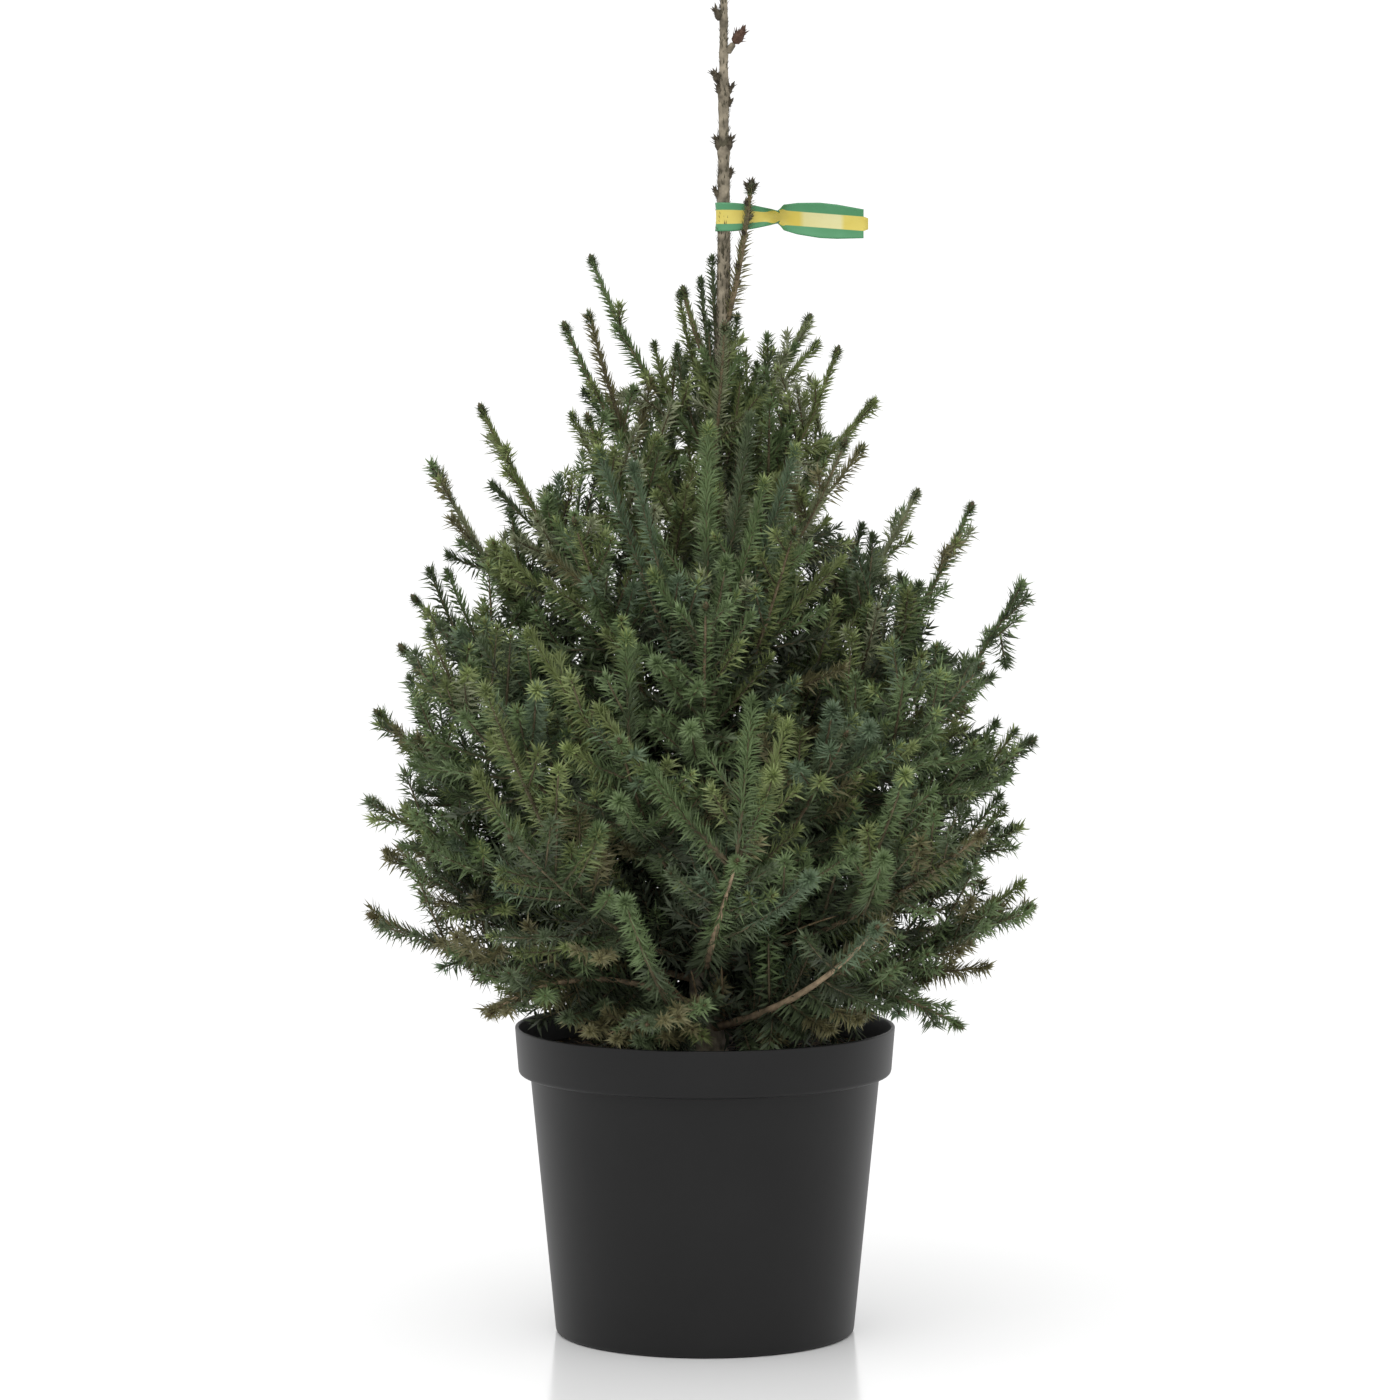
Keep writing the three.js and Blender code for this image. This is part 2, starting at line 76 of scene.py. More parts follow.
def unit(vectors):
    """Each vector divided by its length."""
    return vectors / np.linalg.norm(vectors, axis=-1, keepdims=True)


def mix(start, end, share):
    """The value that lies at a share of the way from start to end."""
    return start + (end - start) * share


def grid_triangles(rows, columns):
    """Two triangles for each cell of a grid, seen from the side where columns cross rows."""
    corner = (np.arange(rows - 1)[:, None] * columns + np.arange(columns - 1)).ravel()
    lower = np.stack([corner, corner + 1, corner + columns + 1], axis=1)
    upper = np.stack([corner, corner + columns + 1, corner + columns], axis=1)
    return np.concatenate([lower, upper])


def spread_out(counts):
    """For a count of things on each owner: every thing's owner, and its place among that owner's."""
    owner = np.repeat(np.arange(len(counts)), counts)
    return owner, np.arange(len(owner)) - np.repeat(np.cumsum(counts) - counts, counts)


def welded(points, triangles):
    """Points that coincide become one, and triangles that collapse there are dropped."""
    _, first, where = np.unique(np.round(points, 7), axis=0, return_index=True, return_inverse=True)
    triangles = where.reshape(-1)[triangles]
    a, b, c = triangles.T
    return points[first], triangles[(a != b) & (b != c) & (c != a)]


def make_piece(name, points, triangles, material, slot, stands_for, smooth=True):
    """A mesh object from arrays, riding on the part's only body."""
    mesh = bpy.data.meshes.new(name)
    mesh.vertices.add(len(points))
    mesh.vertices.foreach_set("co", np.ascontiguousarray(points, dtype=np.float32).ravel())
    mesh.loops.add(triangles.size)
    mesh.loops.foreach_set("vertex_index", np.ascontiguousarray(triangles, dtype=np.int32).ravel())
    mesh.polygons.add(len(triangles))
    mesh.polygons.foreach_set("loop_start", np.arange(0, triangles.size, 3, dtype=np.int32))
    mesh.polygons.foreach_set("use_smooth", np.full(len(triangles), smooth))
    mesh.update()
    mesh.materials.append(material)
    piece = bpy.data.objects.new(name, mesh)
    bpy.context.scene.collection.objects.link(piece)
    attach(piece, "root")
    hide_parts(*stands_for)
    print(name, len(triangles), "triangles")
    return piece


# %% [markdown]
# ## Noise as a height
# Bark and soil are never smooth. A cheap stand-in for their relief is value noise: each corner of a
# lattice gets a fixed number, and points inside a cell blend the eight corners around them. It is a
# function of place alone, so the same point always gets the same height.

# %% Value noise
def ripple(points, size, seed):
    """Noise from -1 to 1: numbers at the corners of cells of a size, smoothly blended between."""
    cell = points / size
    base = np.floor(cell)
    share = cell - base
    share = share * share * (3 - 2 * share)
    total = np.zeros(points.shape[:-1])
    for corner in np.ndindex(2, 2, 2):
        spot = base + corner
        wave = np.sin(spot @ np.array([12.9898, 78.233, 37.719]) + 17.3 * seed) * 43758.5453
        weight = np.prod(np.where(corner, share, 1 - share), axis=-1)
        total += weight * (2 * (wave - np.floor(wave)) - 1)
    return total


# %% [markdown]
# ## Shared shader effects
# Plastic, bark, soil and needles all vary a little from spot to spot, and several of them have a
# fine grain. Each effect is one node group with named inputs, so that a material only says how
# strong it is. Both read object coordinates: the pieces sit at the origin, so the pattern stays put.

# %% Node groups
def add(tree, kind, inputs, **settings):
    """The outputs of a new node: its settings are made, then each input is linked or given a value."""
    node = tree.nodes.new("ShaderNode" + kind)
    for title, value in settings.items():
        setattr(node, title, value)
    for title, value in inputs.items():
        if isinstance(value, bpy.types.NodeSocket):
            tree.links.new(value, node.inputs[title])
        else:
            node.inputs[title].default_value = value
    return node.outputs


def new_group(name, inputs, output, kind):
    """An empty shader node group with its sockets, and the outputs of its input node."""
    group = bpy.data.node_groups.new(name, "ShaderNodeTree")
    for title, value in inputs.items():
        value_kind = "NodeSocketFloat" if isinstance(value, float) else "NodeSocketColor"
        socket = group.interface.new_socket(title, in_out="INPUT", socket_type=value_kind)
        socket.default_value = value
    group.interface.new_socket(output, in_out="OUTPUT", socket_type=kind)
    return group, group.nodes.new("NodeGroupInput").outputs


def make_mottle():
    """Noise in object coordinates that blends a dark colour into a light one."""
    sockets = {"Dark": (0, 0, 0, 1), "Light": (1, 1, 1, 1), "Scale": 60.0}
    group, given = new_group("Mottle", sockets, "Color", "NodeSocketColor")
    spot = add(group, "TexCoord", {})["Object"]
    noise = add(group, "TexNoise", {"Vector": spot, "Scale": given["Scale"], "Detail": 3.0})["Fac"]
    spread = add(group, "MapRange", {"Value": noise, "From Min": 0.3, "From Max": 0.7})["Result"]
    blend = {"Factor": spread, "A": given["Dark"], "B": given["Light"]}
    colour = add(group, "Mix", blend, data_type="RGBA")["Result"]
    group.links.new(colour, group.nodes.new("NodeGroupOutput").inputs["Color"])
    return group


def make_grain():
    """Fine noise in object coordinates, stretched along Z, turned into a bumped normal."""
    sockets = {"Scale": 900.0, "Stretch": 1.0, "Strength": 0.2, "Depth": 0.0003}
    group, given = new_group("Grain", sockets, "Normal", "NodeSocketVector")
    spot = add(group, "TexCoord", {})["Object"]
    squeeze = add(group, "CombineXYZ", {"X": 1.0, "Y": 1.0, "Z": given["Stretch"]})["Vector"]
    scaled = add(group, "VectorMath", {0: spot, 1: squeeze}, operation="MULTIPLY")["Vector"]
    noise = add(group, "TexNoise", {"Vector": scaled, "Scale": given["Scale"]})["Fac"]
    relief = {"Height": noise, "Strength": given["Strength"], "Distance": given["Depth"]}
    normal = add(group, "Bump", relief)["Normal"]
    group.links.new(normal, group.nodes.new("NodeGroupOutput").inputs["Normal"])
    return group


MOTTLE = make_mottle()
GRAIN = make_grain()


def mottle(tree, dark, light, scale):
    """The colour of the mottle group between two colours at a scale."""
    values = {"Dark": (*dark, 1), "Light": (*light, 1), "Scale": scale}
    return add(tree, "Group", values, node_tree=MOTTLE)["Color"]


def mottled(name, dark, light, scale, roughness, specular, grain=None):
    """A Principled material coloured by the mottle group and, if asked, bumped by the grain."""
    material = bpy.data.materials.new(name)
    material.use_nodes = True
    tree = material.node_tree
    shader = tree.nodes["Principled BSDF"]
    shader.inputs["Roughness"].default_value = roughness
    shader.inputs["Specular IOR Level"].default_value = specular
    tree.links.new(mottle(tree, dark, light, scale), shader.inputs["Base Color"])
    if grain:
        bumps = add(tree, "Group", grain, node_tree=GRAIN)
        tree.links.new(bumps["Normal"], shader.inputs["Normal"])
    return material


print("node groups", MOTTLE.name, GRAIN.name)

# %% [markdown]
# ## The pot
# A nursery pot is moulded plastic: one wall, thin at the lip, with a deep collar that stiffens the
# rim. It is a body of revolution, so its surface is an outline turned about Z. The outline is given
# as a few corners with a rounding each; a corner becomes a short curve that starts and ends that far
# from it. The plastic is almost black, and what shows of it is mostly the soft gloss of its skin.

# %% Pot
POT_HEIGHT = 0.229
POT_STEP = 0.193  # underside of the collar
RIM_RADIUS = 0.1412
COLLAR_RADIUS = 0.1388
BODY_RADIUS = 0.1298
BASE_RADIUS = 0.1112
WALL = 0.0028
POT_CORNERS = [  # radius, height, rounding
    (0.0, 0.0, 0.0),
    (BASE_RADIUS - 0.0002, 0.0, 0.0035),
    (BODY_RADIUS, POT_STEP, 0.0012),
    (COLLAR_RADIUS - 0.0004, POT_STEP + 0.0008, 0.0032),
    (RIM_RADIUS, POT_HEIGHT, 0.0012),
    (RIM_RADIUS - WALL, POT_HEIGHT, 0.0012),
    (COLLAR_RADIUS - WALL, POT_STEP + 0.006, 0.003),
    (BODY_RADIUS - WALL, POT_STEP + 0.002, 0.002),
    (BASE_RADIUS - WALL, 0.003, 0.002),
    (0.0, 0.003, 0.0),
]
ROUND_STEPS = 144
LONGEST_RUN = 0.012


def rounded(corners, steps=6):
    """An outline whose corners are quadratic curves that leave each side a rounding away from it."""
    corners = np.array(corners)
    spots, easing = corners[:, :2], corners[:, 2:]
    share = np.linspace(0, 1, steps)[:, None]
    runs = [spots[:1]]
    for before, spot, after, ease in zip(spots[:-2], spots[1:-1], spots[2:], easing[1:-1]):
        start = spot + ease * unit(before - spot)
        end = spot + ease * unit(after - spot)
        runs.append(mix(mix(start, spot, share), mix(spot, end, share), share))
    runs.append(spots[-1:])
    outline = np.concatenate(runs)
    gaps = np.linalg.norm(np.diff(outline, axis=0), axis=1)
    parts = np.maximum(1, np.ceil(gaps / LONGEST_RUN)).astype(int)
    which, inner = spread_out(parts)
    filled = mix(outline[which], outline[which + 1], (inner / parts[which])[:, None])
    return np.concatenate([filled, outline[-1:]])


def turned(outline, steps):
    """An outline of radii and heights carried round Z: radius times cosine and sine of the angle."""
    angle = np.linspace(0, 2 * np.pi, steps + 1)
    angle[-1] = 0.0
    radius, height = outline[:, :1], outline[:, 1:]
    flat = [radius * np.cos(angle), radius * np.sin(angle), height + 0 * angle]
    return np.stack(flat, axis=-1).reshape(-1, 3), grid_triangles(len(outline), steps + 1)


pot_plastic = mottled(
    "pot_plastic", (0.0045, 0.0045, 0.0046), (0.0065, 0.0065, 0.0066), 14, 0.45, 0.27,
    {"Scale": 1400, "Strength": 0.12, "Depth": 0.0001},
)
pot_points, pot_triangles = welded(*turned(rounded(POT_CORNERS), ROUND_STEPS))
make_piece("pot_shell", pot_points, pot_triangles, pot_plastic, "pot_plastic", ["pot"])

# %% [markdown]
# ## The soil
# Potting soil is a dark, crumbly fill that settles a little below the rim. It is the same kind of
# turned surface as the pot, with noise of three sizes added to the height of its upper face only.
# The noise fades out at the wall, so that the soil never pushes through the plastic.

# %% Soil
SOIL_LEVEL = 0.207
SOIL_INSET = WALL + 0.0004
COLLAR_SLOPE = (RIM_RADIUS - COLLAR_RADIUS) / (POT_HEIGHT - POT_STEP - 0.006)
SOIL_RADIUS = COLLAR_RADIUS - SOIL_INSET + COLLAR_SLOPE * (SOIL_LEVEL - POT_STEP - 0.006)
SOIL_CORNERS = [
    (0.0, 0.0034, 0.0),
    (BASE_RADIUS - SOIL_INSET, 0.0034, 0.001),
    (BODY_RADIUS - SOIL_INSET, POT_STEP + 0.003, 0.001),
    (COLLAR_RADIUS - SOIL_INSET, POT_STEP + 0.007, 0.001),
    (SOIL_RADIUS, SOIL_LEVEL, 0.0008),
]
TOP_POINTS = 12  # of the rounded outline's flat top, which finer rings replace
SOIL_RINGS, SOIL_STEPS = 42, 96
soil_rings = np.linspace(SOIL_RADIUS - 0.002, 0.0, SOIL_RINGS)
soil_side = rounded(SOIL_CORNERS + [(0.0, SOIL_LEVEL, 0.0)])[:-TOP_POINTS]
soil_top = np.stack([soil_rings, np.full(SOIL_RINGS, SOIL_LEVEL)], axis=1)
soil_points, soil_triangles = welded(*turned(np.concatenate([soil_side, soil_top]), SOIL_STEPS))
from_wall = SOIL_RADIUS - np.hypot(soil_points[:, 0], soil_points[:, 1])
on_top = (soil_points[:, 2] > SOIL_LEVEL - 1e-4) * np.clip(from_wall / 0.006, 0, 1)


def crumbs(points):
    """Heights of the soil's crumbs: noise of three sizes added up."""
    kinds = [(0.0035, 0.030, 1), (0.0020, 0.009, 2), (0.0012, 0.004, 3)]
    return sum(height * ripple(points, size, seed) for height, size, seed in kinds)


soil_points[:, 2] += on_top * crumbs(soil_points)
soil_material = mottled(
    "soil", (0.006, 0.0045, 0.003), (0.022, 0.015, 0.009), 160, 0.95, 0.2,
    {"Scale": 700, "Strength": 0.6, "Depth": 0.001},
)
make_piece("soil_fill", soil_points, soil_triangles, soil_material, "soil", ["soil"])

# %% [markdown]
# ## Tubes with relief
# Trunk, boughs, twigs and buds are all limbs of a round section. One function carries a circle along
# any number of paths at once. Each path brings its own radii, and a radius of nothing at an end
# closes it there. Bark relief is a share of the radius added by noise.

# %% Tubes
def frame_along(forward, upright=UP):
    """Directions across and above a path: across is square to upright, above completes the square."""
    across = unit(np.cross(forward, upright) + [1e-9, 0, 0])
    return across, np.cross(across, forward)


def tubes(centres, radii, sides, relief=None, upright=UP):
    """Circles round the points of each path: centre + radius (above cos angle + across sin angle)."""
    paths, rows, _ = centres.shape
    across, above = frame_along(unit(np.gradient(centres, axis=1)), upright)
    angle = np.linspace(0, 2 * np.pi, sides + 1)[:, None]
    round_about = above[:, :, None] * np.cos(angle) + across[:, :, None] * np.sin(angle)
    round_about[:, :, -1] = round_about[:, :, 0]
    radius = radii[:, :, None, None]
    points = centres[:, :, None] + radius * round_about
    if relief:
        points = points + radius * round_about * relief(points)[..., None]
    cells = grid_triangles(rows, sides + 1)
    offsets = np.arange(paths)[:, None, None] * rows * (sides + 1)
    return welded(points.reshape(-1, 3), (cells + offsets).reshape(-1, 3))


def bark_relief(points):
    """Long low ridges, plates across them and a fine crust, as shares of the radius."""
    long = ripple(points * [1, 1, 0.3], 0.006, 4)
    plates = ripple(points * [1, 1, 1.6], 0.009, 5)
    crust = ripple(points, 0.0022, 6)
    return 0.06 * long + 0.05 * np.maximum(plates, 0) + 0.03 * crust


# %% [markdown]
# ## Trunk and leader
# The trunk runs unbroken from the soil to the bud at its tip. Its upper part, the leader, leans a
# little and stands bare above the crown. The path is the trunk's axis with that lean, and the radius
# is a taper with a root flare added near the soil. Small swellings mark the buds.

# %% Trunk
TRUNK_FOOT = SOIL_LEVEL + 0.0003
TRUNK_TIP = 1.008
LEAN, LEAN_FROM, LEAN_TO = 0.0137, 0.520, 0.790
FOOT_RADIUS, TIP_RADIUS, TAPER = 0.0125, 0.0024, 0.85
FLARE_RADIUS, FLARE_HEIGHT = 0.019, 0.011
SWELLING, SWELLING_HEIGHT = 0.0005, 0.004  # of the stem at a bud
TRUNK_RINGS, TRUNK_SIDES = 300, 28
LEADER_BUDS = np.array([  # height, bearing, lean from the stem, stalk, size
    (0.970, 185, 26, 0.000, 1.25), (0.946, 352, 36, 0.009, 1.65), (0.924, 180, 30, 0.000, 1.30),
    (0.916, 205, 24, 0.000, 1.00), (0.916, 5, 28, 0.000, 1.00), (0.907, 350, 32, 0.000, 0.80),
    (0.875, 195, 18, 0.000, 1.25), (0.875, 345, 18, 0.000, 1.25), (0.854, 5, 24, 0.000, 0.95),
    (0.841, 185, 34, 0.000, 0.95),
])


def trunk_point(height):
    """The trunk's axis: it leans over by a smooth step between two heights."""
    share = np.clip((height - LEAN_FROM) / (LEAN_TO - LEAN_FROM), 0, 1)
    return np.stack([LEAN * share**2 * (3 - 2 * share), 0 * height, height], axis=-1)


def trunk_radius(height):
    """Foot radius to tip radius by a power of the height's share, plus a flare that dies away."""
    share = np.clip((height - TRUNK_FOOT) / (TRUNK_TIP - TRUNK_FOOT), 0, 1)
    flare = (FLARE_RADIUS - FOOT_RADIUS) * np.exp((TRUNK_FOOT - height) / FLARE_HEIGHT)
    return mix(FOOT_RADIUS, TIP_RADIUS, share**TAPER) + flare


def towards(bearing):
    """The flat direction at a bearing in degrees round from +X."""
    turn = np.radians(bearing)
    return np.stack([np.cos(turn), np.sin(turn), 0 * turn], axis=-1)


def tip_at(bearing, reach, height):
    """The point at a bearing and a reach from the trunk's axis at a height."""
    return trunk_point(height) + reach[:, None] * towards(bearing)


def on_trunk(height, out, share):
    """Points at a share of the trunk's radius from its axis, in a flat direction at each height."""
    return trunk_point(height) + out * (share * trunk_radius(height))[:, None]


trunk_heights = np.linspace(TRUNK_FOOT, TRUNK_TIP, TRUNK_RINGS)
trunk_heights = np.concatenate([[TRUNK_FOOT], trunk_heights, [TRUNK_TIP]])
trunk_heights[1] += 1e-5
trunk_heights[-1] += 1e-3
from_bud = (trunk_heights[:, None] - LEADER_BUDS[:, 0]) / SWELLING_HEIGHT
trunk_radii = trunk_radius(trunk_heights) + SWELLING * np.exp(-(from_bud**2)).sum(1)
trunk_radii[[0, -1]] = 0.0
bark = mottled(
    "bark", (0.098, 0.084, 0.060), (0.340, 0.294, 0.216), 130, 0.85, 0.25,
    {"Scale": 420, "Stretch": 0.35, "Strength": 0.7, "Depth": 0.0008},
)
trunk_path = trunk_point(trunk_heights)[None]
trunk = tubes(trunk_path, trunk_radii[None], TRUNK_SIDES, bark_relief, BACK)
make_piece("trunk_bark", *trunk, bark, "bark", ["trunk"])

# %% [markdown]
# ## Limbs
# Every limb leaves the trunk at one height, swings out and turns up, or hangs down where it is old
# and low. The numbers are the plant's own: bearing, reach from the trunk, the heights of its foot
# and tip, and how far its middle arches. Its path is a quadratic curve, written as foot + slope t +
# turn t squared, and a table of lengths lets a place be asked for by its share of the way along.

# %% Limbs
WHORLS = {
    "skirt": [
        (186, 0.246, 0.236, 0.313, 0.006), (352, 0.241, 0.243, 0.320, 0.008),
        (334, 0.204, 0.230, 0.241, 0.058), (305, 0.211, 0.226, 0.321, 0),
        (256, 0.168, 0.231, 0.252, 0.022), (214, 0.186, 0.240, 0.252, 0.050),
        (128, 0.232, 0.238, 0.306, 0), (58, 0.230, 0.236, 0.304, 0),
    ],
    "lower": [
        (168, 0.243, 0.262, 0.352, 0), (14, 0.238, 0.266, 0.370, 0), (276, 0.210, 0.270, 0.372, 0),
        (92, 0.235, 0.264, 0.360, 0), (234, 0.232, 0.274, 0.386, 0), (326, 0.238, 0.274, 0.384, 0),
    ],
    "waist": [
        (184, 0.246, 0.294, 0.397, 0), (357, 0.241, 0.310, 0.441, 0), (253, 0.205, 0.312, 0.455, 0),
        (300, 0.198, 0.316, 0.458, 0), (62, 0.228, 0.308, 0.436, 0), (120, 0.228, 0.304, 0.436, 0),
    ],
    "middle": [
        (172, 0.246, 0.318, 0.458, -0.010), (6, 0.236, 0.335, 0.554, -0.025), (270, 0.165, 0.360, 0.548, 0),
        (205, 0.240, 0.340, 0.515, 0), (333, 0.222, 0.346, 0.502, 0), (140, 0.220, 0.350, 0.522, 0),
        (40, 0.215, 0.344, 0.520, 0), (184, 0.214, 0.378, 0.546, 0),
    ],
    "shoulder": [
        (170, 0.211, 0.408, 0.642, 0), (354, 0.192, 0.385, 0.614, -0.035), (295, 0.142, 0.426, 0.600, 0),
        (85, 0.165, 0.412, 0.612, 0), (26, 0.172, 0.428, 0.621, 0), (230, 0.150, 0.420, 0.606, 0),
    ],
    "upper": [
        (187, 0.174, 0.470, 0.686, 0), (8, 0.115, 0.556, 0.690, 0.030), (218, 0.118, 0.522, 0.680, 0),
        (114, 0.112, 0.516, 0.688, 0), (322, 0.118, 0.508, 0.662, 0), (60, 0.105, 0.534, 0.690, 0),
    ],
    "neck": [
        (176, 0.097, 0.652, 0.795, 0), (202, 0.123, 0.596, 0.746, 0), (344, 0.088, 0.590, 0.728, -0.020),
        (36, 0.079, 0.660, 0.752, 0), (272, 0.044, 0.620, 0.746, 0),
    ],
    "top": [(334, 0.022, 0.740, 0.848, 0), (195, 0.030, 0.706, 0.772, 0)],
}
WHORL = {name: level for level, name in enumerate(WHORLS)}
LIMB_OUTWARD, LIMB_RISE, LIMB_WANDER = 0.55, 0.26, 0.05
LIMB_THICKNESS, LIMB_THINNEST, LIMB_TIP = 0.014, 0.0021, 0.0009


def chance(limb, shoot, use):
    """A repeatable number from 0 to 1 for a limb, a shoot on it and a use."""
    wave = np.sin(limb * 127.1 + shoot * 311.7 + use * 74.7) * 43758.5453
    return wave - np.floor(wave)


def measured(foot, slope, turn, **facts):
    """Curves foot + slope t + turn t^2, with their lengths and a table from length share to t."""
    times = np.linspace(0, 1, 25)
    t = times[:, None]
    points = foot[:, None] + slope[:, None] * t + turn[:, None] * t**2
    steps = np.linalg.norm(np.diff(points, axis=1), axis=2)
    run = np.pad(np.cumsum(steps, axis=1), ((0, 0), (1, 0)))
    marks = run / run[:, -1:] + 2 * np.arange(len(foot))[:, None]
    return SimpleNamespace(
        foot=foot, slope=slope, turn=turn, length=run[:, -1], marks=marks.ravel(),
        times=np.tile(times, len(foot)), **facts,
    )


def place(curves, which, share):
    """Points and directions at shares of the length of the curves that which names."""
    t = np.interp(2 * which + share, curves.marks, curves.times)[..., None]
    point = curves.foot[which] + curves.slope[which] * t + curves.turn[which] * t**2
    return point, unit(curves.slope[which] + 2 * curves.turn[which] * t)


def paths(curves, count):
    """Points along each curve at even shares of its length."""
    which = np.arange(len(curves.limb))
    steps = [place(curves, which, np.full(len(which), share))[0] for share in np.linspace(0, 1, count)]
    return np.stack(steps, axis=1)


rows = np.array([row for whorl in WHORLS.values() for row in whorl], dtype=float)
bearing, reach, start_height, tip_height, arch = rows.T
whorl_of = np.repeat(np.arange(len(WHORLS)), [len(whorl) for whorl in WHORLS.values()])
number = np.arange(len(rows))
start = trunk_point(start_height)
tip = tip_at(bearing, reach, tip_height)
bend = mix(start, tip, LIMB_OUTWARD)
bend[:, 2] = start_height + LIMB_RISE * (tip_height - start_height) + arch
wander = LIMB_WANDER * reach * (2 * chance(number, 0, 1) - 1)
bend += wander[:, None] * towards(bearing + 90)
limbs = measured(
    start, 2 * (bend - start), start - 2 * bend + tip, number=number, limb=number, whorl=whorl_of,
    branched=whorl_of < WHORL["top"],
)
AXES = paths(limbs, 41)
print(len(number), "limbs,", round(limbs.length.sum(), 2), "m of them")

# %% [markdown]
# ## Side shoots
# A spruce bough is flat-sided: shoots leave it left and right in turn, lean forward, and are shorter
# towards the tip. Each bears finer twigs in the same way. Inner twigs fill the crown round the trunk
# and outer shoots thicken the limbs' ends. A shoot that would leave its limb's room or the crown's
# body, hit the trunk, dip into the pot or stand before wood that shows is cut back step by step, and
# left out when it gets too short.

# %% Side shoots and twigs
SHOOT = SimpleNamespace(
    every=0.013, first=0.14, last=0.82, spread=47, spread_varies=16, lift=18, lift_varies=150,
    share=0.50, shrink=0.36, varies=0.35, curl=0.14, shortest=0.026,
)
TWIG = SimpleNamespace(
    every=0.050, first=0.24, last=0.72, spread=43, spread_varies=12, lift=10, lift_varies=60,
    share=0.52, shrink=0.28, varies=0.35, curl=0.10, shortest=0.028,
)
INNER = SimpleNamespace(
    every=np.where(whorl_of < WHORL["shoulder"], 0.015, 0.010), first=0.02, last=0.62, spread=62,
    spread_varies=40, lift=20, lift_varies=320, share=0.34, shrink=0.26, varies=0.50, curl=0.05,
    shortest=0.020,
)
SIDEWAYS = np.abs(np.sin(np.radians(bearing))) < 0.6  # limbs that make the outline seen from the front
OUTER = SimpleNamespace(
    every=np.where(SIDEWAYS, 0.021, 0.036), first=0.56, last=0.96, spread=38, spread_varies=14,
    lift=8, lift_varies=80, share=0.32, shrink=0.18, varies=0.40, curl=0.06, shortest=0.018,
)
BEARS_TWIGS = 0.055  # length from which a side shoot bears twigs
MARGIN = 0.0024
BODY = np.array([  # height, and how far the crown's body reaches on its left and on its right
    (0.21, 0.150, 0.158), (0.25, 0.155, 0.162), (0.28, 0.195, 0.193), (0.31, 0.206, 0.238),
    (0.34, 0.233, 0.208), (0.37, 0.231, 0.212), (0.40, 0.228, 0.222), (0.43, 0.233, 0.230),
    (0.46, 0.218, 0.204), (0.49, 0.221, 0.220), (0.52, 0.206, 0.176), (0.55, 0.166, 0.166),
    (0.58, 0.172, 0.134), (0.61, 0.151, 0.094), (0.64, 0.120, 0.090), (0.67, 0.095, 0.091),
    (0.70, 0.092, 0.075), (0.73, 0.034, 0.070), (0.76, 0.019, 0.012), (0.80, 0.012, 0.012),
])
BODY_INSET = 0.006  # needles stand out this far beyond a shoot's tip
# Shoots this near under a limb, whorl by whorl, may stand outside the body.
CLOSE = np.array([0.022, 0.020, 0.020, 0.018, 0.016, 0.014, 0.012, 0.0])
BESIDE = 0.3  # rise over a limb, as a share of the distance from it, that counts as under it
LOWEST = 0.243  # of shoots outside the pot's mouth
GIVE = 0.030  # how far fine shoots of neighbouring limbs may reach in among each other
SHRINK_STEP, SHRINK_TRIES = 0.78, 6
PLACE_VARIES = 0.4  # of the gap between two shoots
PLACE_USE, SPREAD_USE, LIFT_USE, LENGTH_USE = 2, 3, 4, 5  # of chance
EYE = np.array([0.0, -3.78, 0.74])  # where the photograph was taken from
SHOWN_WOOD = [  # limbs that stay open to the front: number, first and last share, clearance
    (3, 0.12, 0.72, 0.014), (5, 0.20, 0.60, 0.010), (10, 0.60, 0.95, 0.014),
]
HOLLOWS = np.array([  # lines that do too: both ends and clearance
    (-0.048, -0.060, 0.334, -0.045, -0.060, 0.281, 0.022),
    (-0.005, -0.050, 0.287, 0.017, -0.050, 0.280, 0.022),
    (0.080, -0.070, 0.328, 0.097, -0.070, 0.319, 0.022),
])
LINE_POINTS = 12
open_lines = []
for limb, first, last, clear in SHOWN_WOOD:
    line = place(limbs, np.full(LINE_POINTS, limb), np.linspace(first, last, LINE_POINTS))[0]
    open_lines.append((line, clear))
for row in HOLLOWS:
    open_lines.append((mix(row[:3], row[3:6], np.linspace(0, 1, LINE_POINTS)[:, None]), row[6]))


def in_the_way(points):
    """Whether points stand before a line that shows: close to it as seen from the eye, and nearer."""
    seen = (points - EYE) / (points - EYE)[:, 1:2]
    blocked = np.zeros(len(points), dtype=bool)
    for line, clear in open_lines:
        apart = np.linalg.norm(seen[:, None] - (line - EYE) / (line - EYE)[:, 1:2], axis=2) * abs(EYE[1])
        nearest = apart.argmin(axis=1)
        blocked |= (apart.min(axis=1) < clear) & (points[:, 1] < line[nearest, 1])
    return blocked


def body_radius(points, off):
    """How far the crown's body reaches at points: its left and right reach, blended by the bearing."""
    left, right = (np.interp(points[:, 2], BODY[:, 0], side) for side in BODY[:, 1:].T)
    return mix(left, right, 0.5 + 0.5 * off[:, 0] / np.maximum(np.linalg.norm(off, axis=1), 1e-6))


